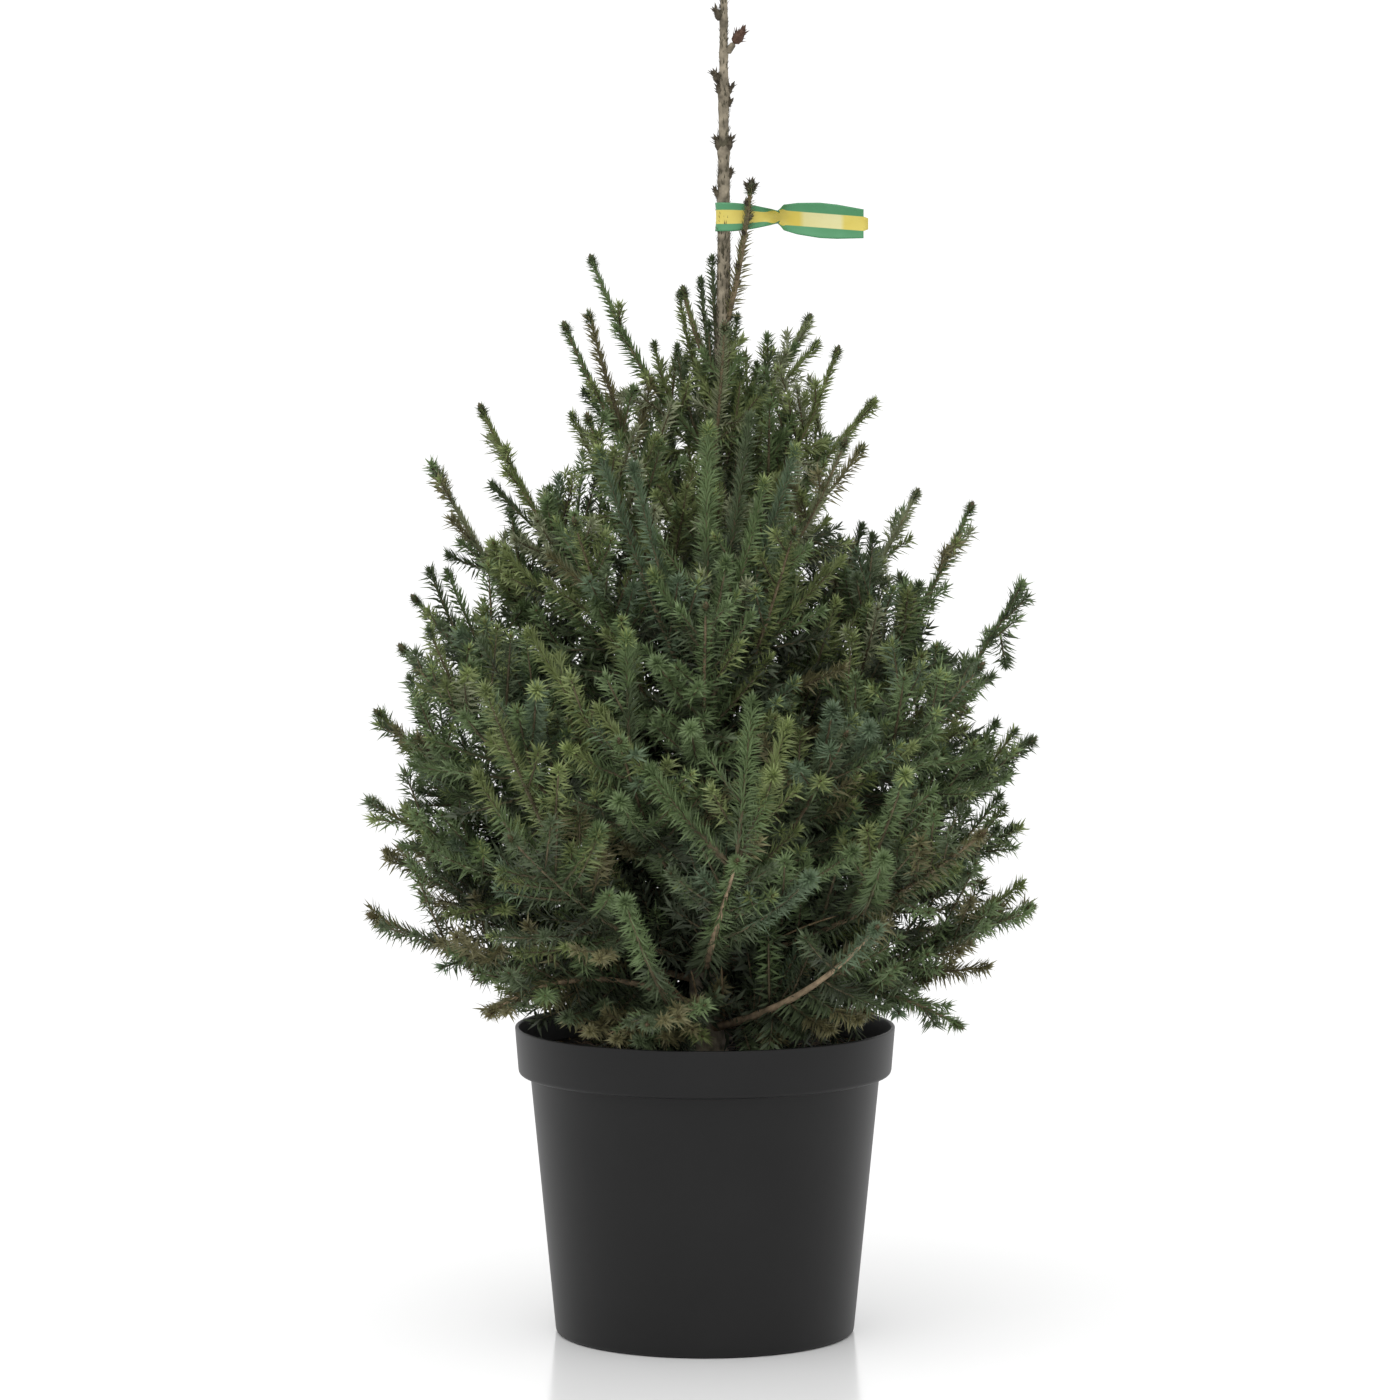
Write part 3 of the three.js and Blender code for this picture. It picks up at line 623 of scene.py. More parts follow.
def in_space(limb, points):
    """Whether points stay near their limb, within its reach and the crown, off trunk, pot and soil."""
    spots = AXES.reshape(-1, 3)
    squares = (points**2).sum(1)[:, None] + (spots**2).sum(1) - 2 * points @ spots.T
    gaps = np.sqrt(np.maximum(squares, 0)).reshape(len(points), len(AXES), -1)
    each = np.arange(len(points))
    nearest = gaps[each, limb].argmin(axis=1)
    over_limb = points[:, 2] - AXES[limb, nearest, 2]
    gaps = gaps.min(axis=2)
    own = gaps[each, limb].copy()
    gaps[each, limb] = np.inf
    off = points - trunk_point(points[:, 2])
    from_trunk = np.linalg.norm(off, axis=1)
    in_mouth = np.hypot(points[:, 0], points[:, 1]) < COLLAR_RADIUS - WALL - MARGIN
    lowest = np.where(in_mouth, SOIL_LEVEL + 2 * MARGIN, LOWEST)
    free = (own < CLOSE[whorl_of[limb]]) & (over_limb < BESIDE * own)
    furthest = np.where(free, np.inf, body_radius(points, off) - BODY_INSET)
    furthest = np.minimum(reach[limb] + MARGIN, furthest)
    fits = (own < gaps.min(axis=1) + GIVE) & (points[:, 2] > lowest) & ~in_the_way(points)
    return fits & (from_trunk < furthest) & (from_trunk > trunk_radius(points[:, 2]) + MARGIN)


def branched(parents, rule):
    """Shoots that leave their parents left and right in turn, at lengths that shrink to the tip."""
    counts = np.where(parents.branched, np.round(parents.length / rule.every), 0).astype(int)
    which, shoot = spread_out(counts)

    def varied(use):
        return chance(parents.number[which], shoot, use) - 0.5

    along = mix(rule.first, rule.last, (shoot + 0.5 + PLACE_VARIES * varied(PLACE_USE)) / counts[which])
    root, forward = place(parents, which, along)
    across, above = frame_along(forward)
    spread = np.radians(rule.spread + rule.spread_varies * varied(SPREAD_USE))[:, None]
    lift = np.radians(rule.lift + rule.lift_varies * varied(LIFT_USE))[:, None]
    side = np.where(shoot % 2, 1, -1)[:, None]
    aim = forward * np.cos(spread) + across * side * np.sin(spread) * np.cos(lift)
    aim += above * np.sin(spread) * np.sin(lift)
    length = (rule.share - rule.shrink * along) * (1 + rule.varies * varied(LENGTH_USE))
    length = length * parents.length[which]
    limb = parents.limb[which]
    for _ in range(SHRINK_TRIES):
        fits = np.ones(len(length), dtype=bool)
        for share in (0.5, 0.75, 1.0):
            run = (share * length)[:, None]
            fits &= in_space(limb, root + aim * run + UP * rule.curl * run * share)
        length = np.where(fits, length, SHRINK_STEP * length)
    kept = length > rule.shortest
    length = length[kept, None]
    return measured(
        root[kept], aim[kept] * length, UP * rule.curl * length, limb=limb[kept],
        number=(parents.number[which] + len(AXES) * (1 + shoot))[kept], parent=which[kept],
        whorl=parents.whorl[which][kept],
    )


side_shoots = branched(limbs, SHOOT)
side_shoots.branched = side_shoots.length > BEARS_TWIGS
twigs = branched(side_shoots, TWIG)
inner_twigs = branched(limbs, INNER)
outer_shoots = branched(limbs, OUTER)
for name, grown in [
    ("side shoots", side_shoots), ("twigs", twigs), ("inner twigs", inner_twigs),
    ("outer shoots", outer_shoots),
]:
    print(len(grown.limb), name, round(grown.length.sum(), 1), "m")

# %% [markdown]
# ## Candles and plumes
# Some shoots are this plant's own more than any rule's: upright candles that hug the foot of the
# leader, and long plumes at the front, along the outline and low over the pot. Each is a curve from
# its root, on the trunk or on a limb, to a tip given like a limb's by bearing, reach and height.
# Plumes bear twigs by the same rule as others. A few dead twigs low in front are bare.

# %% Candles and plumes
CANDLES = np.array([  # bearing, reach, heights of root and tip
    (180, 0.032, 0.690, 0.770), (168, 0.017, 0.705, 0.780), (182, 0.0085, 0.715, 0.796),
    (345, 0.011, 0.690, 0.753), (8, 0.027, 0.640, 0.718), (190, 0.050, 0.655, 0.733),
    (212, 0.038, 0.650, 0.731), (264, 0.050, 0.600, 0.681), (300, 0.030, 0.620, 0.712),
    (285, 0.022, 0.660, 0.742), (80, 0.030, 0.680, 0.755), (120, 0.042, 0.640, 0.735),
    (50, 0.040, 0.620, 0.705), (240, 0.020, 0.680, 0.748), (275, 0.060, 0.540, 0.640),
    (250, 0.020, 0.585, 0.672), (285, 0.018, 0.600, 0.690), (310, 0.026, 0.575, 0.668),
    (225, 0.028, 0.570, 0.665), (95, 0.050, 0.585, 0.685), (70, 0.055, 0.570, 0.660),
    (125, 0.060, 0.565, 0.665), (100, 0.030, 0.610, 0.700), (60, 0.035, 0.600, 0.690),
    (140, 0.045, 0.575, 0.680), (45, 0.060, 0.560, 0.655), (270, 0.014, 0.640, 0.712),
    (255, 0.017, 0.645, 0.705), (292, 0.016, 0.640, 0.708), (235, 0.020, 0.640, 0.716),
])
PLUMES = [  # limb, share along it, bearing, reach and height of the tip, tint
    (12, 0.60, 227, 0.228, 0.490, "olive"), (12, 0.75, 248, 0.200, 0.392, "green"),
    (12, 0.90, 226, 0.232, 0.429, "olive"), (10, 0.97, 248, 0.200, 0.477, "olive"),
    (16, 0.86, 232, 0.202, 0.530, "olive"), (16, 0.86, 252, 0.180, 0.528, "green"),
    (22, 0.80, 275, 0.151, 0.580, "green"), (22, 0.62, 259, 0.178, 0.510, "green"),
    (22, 0.85, 255, 0.145, 0.570, "green"), (22, 0.40, 267, 0.198, 0.465, "green"),
    (10, 0.98, 280, 0.190, 0.483, "green"), (10, 0.97, 287, 0.196, 0.466, "olive"),
    (16, 0.85, 242, 0.206, 0.449, "olive"), (23, 0.55, 236, 0.212, 0.491, "blue"),
    (10, 0.62, 283, 0.212, 0.433, "olive"), (17, 0.75, 298, 0.192, 0.476, "blue"),
    (24, 0.50, 306, 0.198, 0.462, "blue"), (13, 0.48, 310, 0.220, 0.430, "green"),
    (10, 0.62, 298, 0.222, 0.378, "green"), (10, 0.45, 290, 0.216, 0.360, "blue"),
    (13, 0.55, 304, 0.224, 0.372, "green"), (4, 0.60, 254, 0.205, 0.343, "green"),
    (16, 0.55, 253, 0.205, 0.414, "green"), (10, 0.95, 259, 0.202, 0.436, "green"),
    (22, 0.66, 246, 0.141, 0.646, "blue"), (22, 0.62, 235, 0.144, 0.657, "blue"),
    (22, 0.68, 286, 0.133, 0.635, "green"), (22, 0.62, 298, 0.122, 0.658, "blue"),
    (22, 0.74, 267, 0.112, 0.673, "green"), (22, 0.70, 283, 0.105, 0.680, "deep"),
    (33, 0.60, 233, 0.130, 0.548, "green"),
    (41, 0.45, 202, 0.105, 0.754, "old"), (43, 0.35, 23, 0.076, 0.733, "olive"),
    (38, 0.75, 337, 0.116, 0.658, "old"), (41, 0.50, 197, 0.102, 0.698, "deep"),
    (44, 0.35, 303, 0.059, 0.701, "olive"), (42, 0.45, 339, 0.056, 0.681, "deep"),
    (34, 0.60, 184, 0.161, 0.630, "deep"), (28, 0.55, 176, 0.148, 0.611, "green"),
    (28, 0.72, 174, 0.192, 0.577, "deep"), (27, 0.75, 181, 0.204, 0.566, "deep"),
    (27, 0.62, 176, 0.192, 0.564, "green"), (23, 0.70, 209, 0.226, 0.528, "olive"),
    (20, 0.78, 175, 0.220, 0.485, "green"), (32, 0.45, 19, 0.121, 0.597, "deep"),
    (29, 0.45, 353, 0.122, 0.592, "deep"), (29, 0.60, 347, 0.160, 0.557, "green"),
    (21, 0.90, 3, 0.223, 0.497, "deep"), (15, 0.58, 5, 0.217, 0.452, "green"),
    (15, 0.70, 354, 0.229, 0.449, "olive"), (15, 0.72, 8, 0.229, 0.414, "green"),
    (9, 0.62, 5, 0.220, 0.397, "green"), (9, 0.72, 17, 0.235, 0.384, "olive"),
    (9, 0.80, 8, 0.220, 0.372, "green"), (1, 0.58, 358, 0.234, 0.335, "olive"),
    (1, 0.50, 348, 0.211, 0.278, "old"), (1, 0.38, 348, 0.166, 0.267, "old"),
    (36, 0.62, 210, 0.121, 0.681, "olive"),
    (3, 0.25, 305, 0.092, 0.230, "old"), (3, 0.35, 308, 0.114, 0.235, "deep"),
    (3, 0.45, 311, 0.138, 0.240, "old"), (3, 0.55, 314, 0.159, 0.248, "old"),
    (3, 0.65, 317, 0.177, 0.258, "deep"), (5, 0.50, 216, 0.144, 0.257, "old"),
    (5, 0.40, 225, 0.142, 0.248, "deep"), (5, 0.30, 233, 0.138, 0.239, "old"),
    (4, 0.30, 242, 0.136, 0.235, "old"), (4, 0.40, 249, 0.133, 0.234, "deep"),
    # From the first plume tinted shade on, most plumes fill gaps in the crown from behind; the shade and
    # deep ones are painted shade.
    (4, 0.35, 256, 0.119, 0.237, "old"), (6, 0.15, 150, 0.120, 0.285, "shade"),
    (6, 0.20, 170, 0.110, 0.275, "shade"), (11, 0.15, 110, 0.120, 0.300, "shade"),
    (7, 0.15, 80, 0.120, 0.285, "shade"), (6, 0.10, 120, 0.080, 0.275, "shade"),
    (7, 0.10, 60, 0.090, 0.270, "shade"), (8, 0.12, 185, 0.110, 0.285, "shade"),
    (9, 0.12, 10, 0.110, 0.285, "shade"), (11, 0.10, 100, 0.070, 0.265, "shade"),
    (8, 0.10, 160, 0.080, 0.300, "shade"), (11, 0.20, 130, 0.110, 0.320, "shade"),
    (6, 0.06, 100, 0.060, 0.252, "shade"), (7, 0.08, 95, 0.090, 0.246, "shade"),
    (6, 0.12, 105, 0.110, 0.243, "shade"), (31, 0.35, 120, 0.080, 0.500, "shade"),
    (26, 0.40, 70, 0.080, 0.500, "shade"), (25, 0.35, 150, 0.090, 0.500, "shade"),
    (31, 0.30, 95, 0.070, 0.520, "shade"), (25, 0.50, 165, 0.100, 0.470, "shade"),
    (31, 0.40, 105, 0.060, 0.480, "shade"), (31, 0.30, 118, 0.085, 0.480, "shade"),
    (9, 0.55, 12, 0.190, 0.312, "old"), (8, 0.62, 171, 0.212, 0.318, "old"),
    (20, 0.62, 165, 0.196, 0.460, "deep"), (20, 0.66, 171, 0.215, 0.400, "deep"),
    (32, 0.40, 32, 0.095, 0.570, "deep"), (40, 0.20, 128, 0.042, 0.722, "deep"),
    (21, 0.50, 13, 0.205, 0.440, "deep"), (20, 0.45, 163, 0.165, 0.430, "shade"),
    (8, 0.50, 160, 0.145, 0.398, "shade"), (8, 0.60, 163, 0.172, 0.380, "shade"),
]
DRY_TWIGS = np.array([  # the same for bare dead twigs low in front
    (4, 0.30, 227, 0.138, 0.237), (4, 0.45, 238, 0.135, 0.237), (4, 0.10, 263, 0.086, 0.281),
    (4, 0.15, 241, 0.097, 0.290), (3, 0.10, 279, 0.076, 0.283), (13, 0.15, 317, 0.132, 0.321),
])
FRONT_PLUMES, BARE_PLUMES = 31, 58  # first rows that face the front, or are bare at the root
LONG_BARE = 14  # the row that is bare furthest
CANDLE_CURL = [-0.6, -0.6, 0.4]  # shares of the way: out first, then up
PLUME_CURL, DRY_SAG = 0.18, 0.012  # a share of the way, and metres
CANDLE_LIMB = 40  # the neck's first limb, whose room the candles share
FIRST_CANDLE, FIRST_PLUME = 5000, 6000  # numbers that no other shoot has


def led(root, tip, curl, **facts):
    """Curves from roots to tips that end steeper than they start: root + (way - curl) t + curl t^2."""
    return measured(root, tip - root - curl, curl, **facts)


turn_to, candle_reach, candle_foot, candle_top = CANDLES.T
candle_root = trunk_point(candle_foot)
candle_tip = tip_at(turn_to, candle_reach, candle_top)
candle_way = candle_tip - candle_root
candles = led(
    candle_root, candle_tip, candle_way * CANDLE_CURL, limb=np.full(len(CANDLES), CANDLE_LIMB),
    number=FIRST_CANDLE + np.arange(len(CANDLES)), whorl=np.full(len(CANDLES), WHORL["neck"]),
)
plume_limb = np.array([row[0] for row in PLUMES])
plume_along, *plume_spot = np.array([row[1:5] for row in PLUMES]).T
plume_bare = np.where(np.arange(len(PLUMES)) < BARE_PLUMES, 0.10, 0.0)
plume_bare[LONG_BARE] = 0.45
plume_root = place(limbs, plume_limb, plume_along)[0]
plume_tip = tip_at(*plume_spot)
plume_way = np.linalg.norm(plume_tip - plume_root, axis=1, keepdims=True)
plumes = led(
    plume_root, plume_tip, UP * PLUME_CURL * plume_way, limb=plume_limb, whorl=whorl_of[plume_limb],
    number=FIRST_PLUME + np.arange(len(PLUMES)), branched=np.ones(len(PLUMES), dtype=bool),
)
plume_twigs = branched(plumes, TWIG)
dry_limb = DRY_TWIGS[:, 0].astype(int)
dry_root = place(limbs, dry_limb, DRY_TWIGS[:, 1])[0]
dry_sag = np.tile(-DRY_SAG * UP, (len(dry_limb), 1))
dry_twigs = led(dry_root, tip_at(*DRY_TWIGS[:, 2:].T), dry_sag, limb=dry_limb)
print(len(CANDLES), "candles,", len(PLUMES), "plumes with", len(plume_twigs.limb), "twigs")

# %% [markdown]
# ## Wood of the crown
# Limbs carry bark like the trunk's. On the boughs whose wood shows it is a lighter copy, painted light
# that lifts them out of the crown's shade; side shoots and twigs have a thinner, darker skin. All are
# tapered tubes. Limbs have enough rings for bark relief; twigs have three to five sides, because
# needles hide them almost everywhere.

# %% Boughs and twigs
LIMB_RINGS, LIMB_SIDES = 26, 8
DRY_RINGS, DRY_SIDES = 9, 5
WOOD = [  # piece, its shoots, radius at the root, more for each metre, radius at the tip, rings, sides
    ("side_shoot_wood", side_shoots, 0.0007, 0.009, 0.0006, 6, 4),
    ("twig_wood", twigs, 0.0006, 0.006, 0.0005, 5, 3),
    ("inner_twig_wood", inner_twigs, 0.0008, 0.008, 0.0006, 4, 3),
    ("outer_shoot_wood", outer_shoots, 0.0006, 0.008, 0.0005, 5, 3),
    ("candle_wood", candles, 0.0006, 0.014, 0.0006, 9, 5),
    ("plume_wood", plumes, 0.0006, 0.013, 0.0006, 9, 5),
    ("plume_twig_wood", plume_twigs, 0.0006, 0.006, 0.0006, 9, 5),
]


def taper(first, last, count, power=1.0):
    """Radii along each curve: from first to last by a power of the share, closed at both ends."""
    share = np.linspace(0, 1, count) ** np.broadcast_to(power, first.shape)[:, None]
    radii = mix(first[:, None], np.broadcast_to(last, first.shape)[:, None], share)
    radii[:, [0, -1]] = 0.0
    return radii


by_leader = whorl_of == WHORL["top"]
limb_radius = np.where(by_leader, 0.0027, np.maximum(LIMB_THINNEST, LIMB_THICKNESS * limbs.length))
limb_end = np.where(by_leader, 0.0016, LIMB_TIP)
shown = np.isin(number, [row[0] for row in SHOWN_WOOD])
limb_power = np.where(shown, 1.6, 0.5)  # boughs that show are stout to near the tip
limb_paths = paths(limbs, LIMB_RINGS)
limb_radii = taper(limb_radius, limb_end, LIMB_RINGS, limb_power)
bough_grain = {"Scale": 600, "Stretch": 1.0, "Strength": 0.6, "Depth": 0.0006}
for name, mine, skin_name, dark, light in [
    ("boughs", ~shown, "bough_bark", (0.100, 0.078, 0.048), (0.240, 0.184, 0.112)),
    # Painted light: the shown boughs' bark is a lighter copy of the others', for light they miss in the
    # crown's shade.
    ("shown_boughs", shown, "painted_light_bark", (0.200, 0.150, 0.098), (0.520, 0.390, 0.250)),
]:
    skin = mottled(skin_name, dark, light, 110, 0.85, 0.25, bough_grain)
    wood = tubes(limb_paths[mine], limb_radii[mine], LIMB_SIDES, bark_relief)
    make_piece(name, *wood, skin, "bark", BOUGHS)
twig_bark = mottled(
    "twig_bark", (0.075, 0.062, 0.036), (0.165, 0.136, 0.080), 90, 0.8, 0.25,
    {"Scale": 800, "Stretch": 0.5, "Strength": 0.4, "Depth": 0.0004},
)
for name, grown, thinnest, per_metre, last, rings, sides in WOOD:
    radii = taper(thinnest + per_metre * grown.length, last, rings)
    make_piece(name, *tubes(paths(grown, rings), radii, sides), twig_bark, "bark", FOLIAGE)
dry_wood = mottled("dry_wood", (0.170, 0.120, 0.066), (0.320, 0.240, 0.140), 120, 0.85, 0.2)
dry_radii = taper(np.full(len(dry_limb), 0.0013), 0.0005, DRY_RINGS)
dry_tubes = tubes(paths(dry_twigs, DRY_RINGS), dry_radii, DRY_SIDES)
make_piece("dry_twigs", *dry_tubes, dry_wood, "bark", ["bough_skirt_4", "bough_skirt_5", "bough_skirt_6"])

# %% [markdown]
# ## Needles
# A needle is flat and blunt, about a centimetre long, with a ridge on its upper face. Four triangles
# are enough: a long thin tetrahedron with one edge along the ridge and one across the underside.
# Needles go round a shoot by the golden angle, lean forward more on its upper side, and part on the
# underside. Low boughs hang theirs. Colour goes by the spray, so each tint is a piece of its own.

# %% Needle rule
GOLDEN_ANGLE = 2.39996
NEEDLE_WIDTH = 0.0016
NEEDLE_FACES = np.array([[0, 1, 2], [1, 0, 3], [0, 2, 3], [1, 3, 2]])  # of root, tip and two sides
TINTS = {
    # deep is a dark green of the sprays' own, and also painted shade inside the crown, by the trunk and
    # behind gaps.
    "deep": (0.077, 0.107, 0.048),
    "green": (0.122, 0.178, 0.070),
    # olive is a yellow-green of the needles' own, and in part painted light: dealt more near the top, it
    # stands for sunlit shoots.
    "olive": (0.172, 0.212, 0.074),
    "blue": (0.104, 0.154, 0.084),
    "old": (0.150, 0.140, 0.062),
    # Painted light: a whitish green dealt most near the top, for the light through the thin upper crown and
    # the needles' sheen.
    "pale": (0.226, 0.250, 0.142),
    "young": (0.230, 0.285, 0.100),
    # Painted shade: this near-black green darkens the twigs inside the crown and the plumes that fill gaps
    # from behind.
    "shade": (0.047, 0.062, 0.032),
}
DARKER = ["shade", "deep", "green", "deep", "deep", "green", "green", "shade"]  # the same, on older wood: darker for the needles' age and as painted shade
WHORL_NEEDLES = np.array([  # length, degrees out from the shoot, hang, needles to the metre, share below
    (0.0130, 56, 0.38, 1500, 0.30),
    (0.0126, 55, 0.12, 1600, 0.25),
    (0.0123, 54, 0.04, 1700, 0.25),
    (0.0120, 53, 0.00, 1700, 0.25),
    (0.0115, 50, 0.00, 1750, 0.40),
    (0.0110, 46, 0.00, 1850, 0.60),
    (0.0104, 42, 0.00, 1900, 0.70),
    (0.0095, 40, 0.00, 1500, 0.50),
])
CROWN_HEIGHTS = [0.21, 0.30, 0.45, 0.55, 0.65, 0.70, 0.80]
CROWN_RADII = [0.20, 0.24, 0.24, 0.23, 0.20, 0.15, 0.08]
DEEP_WIDER = 0.7  # how much wider needles get deep in the crown, where none shows alone
DEEP_SHARE, DEEP_HEIGHTS = 0.75, [0.46, 0.56]  # of the crown's radius, and where this ends
CROWDING = 0.85  # a power under 1 sets needles closer towards the tip
PRESSED = 0.36  # share by which needles above a shoot stand out less, and those below it more
LEAN_VARIES, TURN_VARIES, ROLL_VARIES = 16, 0.5, 1.6  # degrees, radians, slope
NEEDLE_SIZES = 0.8, 1.15  # of the whorl's length


def needle_corners(root, aim, face, length, width):
    """Tetrahedra: root and tip make the ridge, two side points lie lower at four tenths of the way."""
    root, aim, face = (given.reshape(-1, 3) for given in (root, aim, face))
    width = np.broadcast_to(width, length.shape).reshape(-1, 1)
    length = length.reshape(-1, 1)
    face = unit(face - aim * (face * aim).sum(-1, keepdims=True))
    side = np.cross(aim, face) * (0.5 * width)
    middle = root + aim * (0.4 * length) - face * (0.22 * width)
    return np.stack([root, root + aim * length, middle - side, middle + side], axis=1)


def loose_faces(count):
    """The four faces of each of a number of needles that share no corners."""
    return (NEEDLE_FACES + 4 * np.arange(count)[:, None, None]).reshape(-1, 3)


def make_needles(name, corners, material, stands_for):
    """A piece of loose, flat-shaded needles."""
    faces = loose_faces(len(corners))
    make_piece(name, corners.reshape(-1, 3), faces, material, "needles", stands_for, smooth=False)


def clothed(curves, bare, dense, seed, wide=1.0, shaggy=0.0, neck=0.0):
    """Needles along curves: the golden angle round, pressed forward above, parted or hanging below."""
    length, lean, hang, per_metre, below = WHORL_NEEDLES[curves.whorl].T
    counts = np.round(curves.length * (1 - bare) * per_metre * dense).astype(int)
    which, order = spread_out(counts)
    luck = np.random.default_rng(seed).random((5, len(which)))
    first = np.broadcast_to(bare, counts.shape)[which]
    share = mix(first, 1.0, ((order + luck[0]) / counts[which]) ** CROWDING)
    point, forward = place(curves, which, share)
    across, above = frame_along(forward)
    turn = GOLDEN_ANGLE * order + TURN_VARIES * (luck[1] - 0.5)
    rise = np.cos(turn)
    rise = np.where(rise < 0, below[which] * rise, rise)
    radial = unit(above * rise[:, None] + across * np.sin(turn)[:, None])
    radial = unit(radial - UP * hang[which][:, None])
    shag = 1 + shaggy * np.clip(1 - 1.4 * share, 0, 1)
    leaning = shag * lean[which] * (1 - PRESSED * np.cos(turn)) + LEAN_VARIES * (luck[2] - 0.5)
    tilt = np.radians(leaning)[:, None]
    aim = unit(forward * np.cos(tilt) + radial * np.sin(tilt))
    size = shag * length[which] * mix(*NEEDLE_SIZES, luck[3]) * np.clip(1.25 - 0.45 * share**3, 0.5, 1.0)
    size *= 1 - np.broadcast_to(neck, counts.shape)[which] * np.clip(3 * share - 1.7, 0, 1)
    roll = (luck[4] - 0.5)[:, None] * ROLL_VARIES
    face = radial + np.cross(forward, radial) * roll
    crown = np.interp(point[:, 2], CROWN_HEIGHTS, CROWN_RADII)
    deep = np.clip(1 - np.hypot(point[:, 0], point[:, 1]) / (DEEP_SHARE * crown), 0, 1)
    deep *= np.interp(point[:, 2], DEEP_HEIGHTS, [1, 0])
    wider = np.broadcast_to(wide, counts.shape)[which]
    width = NEEDLE_WIDTH * wider * (1 + DEEP_WIDER * deep)
    points = needle_corners(point, aim, face, size * wider**0.5, width)
    return points, which, share


# %% [markdown]
# ## Tints by spray
# Each spray gets a green of its own: dark inside, brownish low down, blue-green half way up, olive and
# pale towards the top, yellow-green on young tips. Not all of it is the needles' own colour. The dark
# inside is painted shade, and the olive and pale greens that grow common towards the top are in part
# painted light, for the light through the thin upper crown. A repeatable draw for each side shoot picks
# a tint, with odds that change with height, and its twigs take the same one. The older wood of a shoot
# carries the next darker tint, for the needles' age and as painted shade.

# %% Tints
TINT_USE = 8  # of chance
BARE_BOUGH, LIGHT_LIMB = 3, 30  # limbs: wood that shows low in front, and one that is lighter
SHADED_BELOW, HALF_SHADED_BELOW = 0.53, 0.60  # heights, for the twigs inside: below the first all of them take painted shade, below the second about half
# The share of a shoot, whorl by whorl, that carries older and darker needles: their age and painted shade.
# It shrinks towards the top, which is painted lighter.
OLD_WOOD = np.array([0.45, 0.45, 0.45, 0.40, 0.24, 0.08, 0.04, 0.0])
TINT_ODDS = np.array([  # deep, green, olive, blue, old, pale for each whorl; olive and pale rise towards the top, in part as painted light
    (0.20, 0.24, 0.14, 0.04, 0.38, 0.00),
    (0.18, 0.36, 0.20, 0.08, 0.18, 0.00),
    (0.22, 0.42, 0.14, 0.16, 0.06, 0.00),
    (0.18, 0.44, 0.16, 0.16, 0.04, 0.02),
    (0.04, 0.42, 0.28, 0.06, 0.06, 0.14),
    (0.02, 0.34, 0.38, 0.02, 0.04, 0.20),
    (0.02, 0.30, 0.40, 0.00, 0.06, 0.22),
    (0.10, 0.00, 0.30, 0.00, 0.60, 0.00),
])


def dealt(limb_number, shoot_number, whorl):
    """The tint whose range of the whorl's odds a repeatable draw falls in."""
    draw = chance(limb_number, shoot_number, TINT_USE)
    return (draw[:, None] > np.cumsum(TINT_ODDS[whorl], axis=1)[:, :-1]).sum(axis=1)


tint_number = {name: count for count, name in enumerate(TINTS)}
deep, olive, young, shade = (tint_number[name] for name in ("deep", "olive", "young", "shade"))
darker = np.array([tint_number[name] for name in DARKER])
limb_tint = dealt(limbs.number, 0, limbs.whorl)
limb_tint[LIGHT_LIMB] = olive
shoot_tint = dealt(side_shoots.number, 1, side_shoots.whorl)
twig_tint = shoot_tint[twigs.parent]
outer_tint = dealt(outer_shoots.number, 2, outer_shoots.whorl)
# Painted shade: twigs inside, all below one height and about half below the next, take the shade tint, one
# in five the deep one.
inner_height = inner_twigs.foot[:, 2]
low_inside = inner_height < SHADED_BELOW
draw = chance(inner_twigs.number, 3, TINT_USE)
in_shade = low_inside | ((draw < 0.5) & (inner_height < HALF_SHADED_BELOW))
inner_painted_shade = np.where(draw < 0.8, shade, deep)
inner_tint = np.where(in_shade, inner_painted_shade, dealt(inner_twigs.number, 3, inner_twigs.whorl))
# Painted shade: candles close to the trunk, and about half of the rest, take the dark green, for the
# hollow's shadow round the leader's foot.
painted_shade_candle = (candle_reach < 0.02) | (chance(candles.number, 4, TINT_USE) < 0.5)
candle_tint = np.where(painted_shade_candle, deep, olive)
plume_tint = np.array([tint_number[row[-1]] for row in PLUMES])
spray_tint = plume_tint[plume_twigs.parent]


def needled(curves, tint, bare, dense, seed, wide=1.0, shaggy=0.0, neck=0.0):
    """Needles of curves with a tint each: their spray's, or on the shoot's old wood a darker one, partly
    painted shade.
    """
    points, which, share = clothed(curves, bare, dense, seed, wide, shaggy, neck)
    # Painted shade in part: needles on the inner share of a shoot take the next darker tint.
    old = share < OLD_WOOD[curves.whorl[which]] * (0.6 + 0.8 * chance(curves.number[which], 6, TINT_USE))
    return points, np.where(old, darker[tint[which]], tint[which])


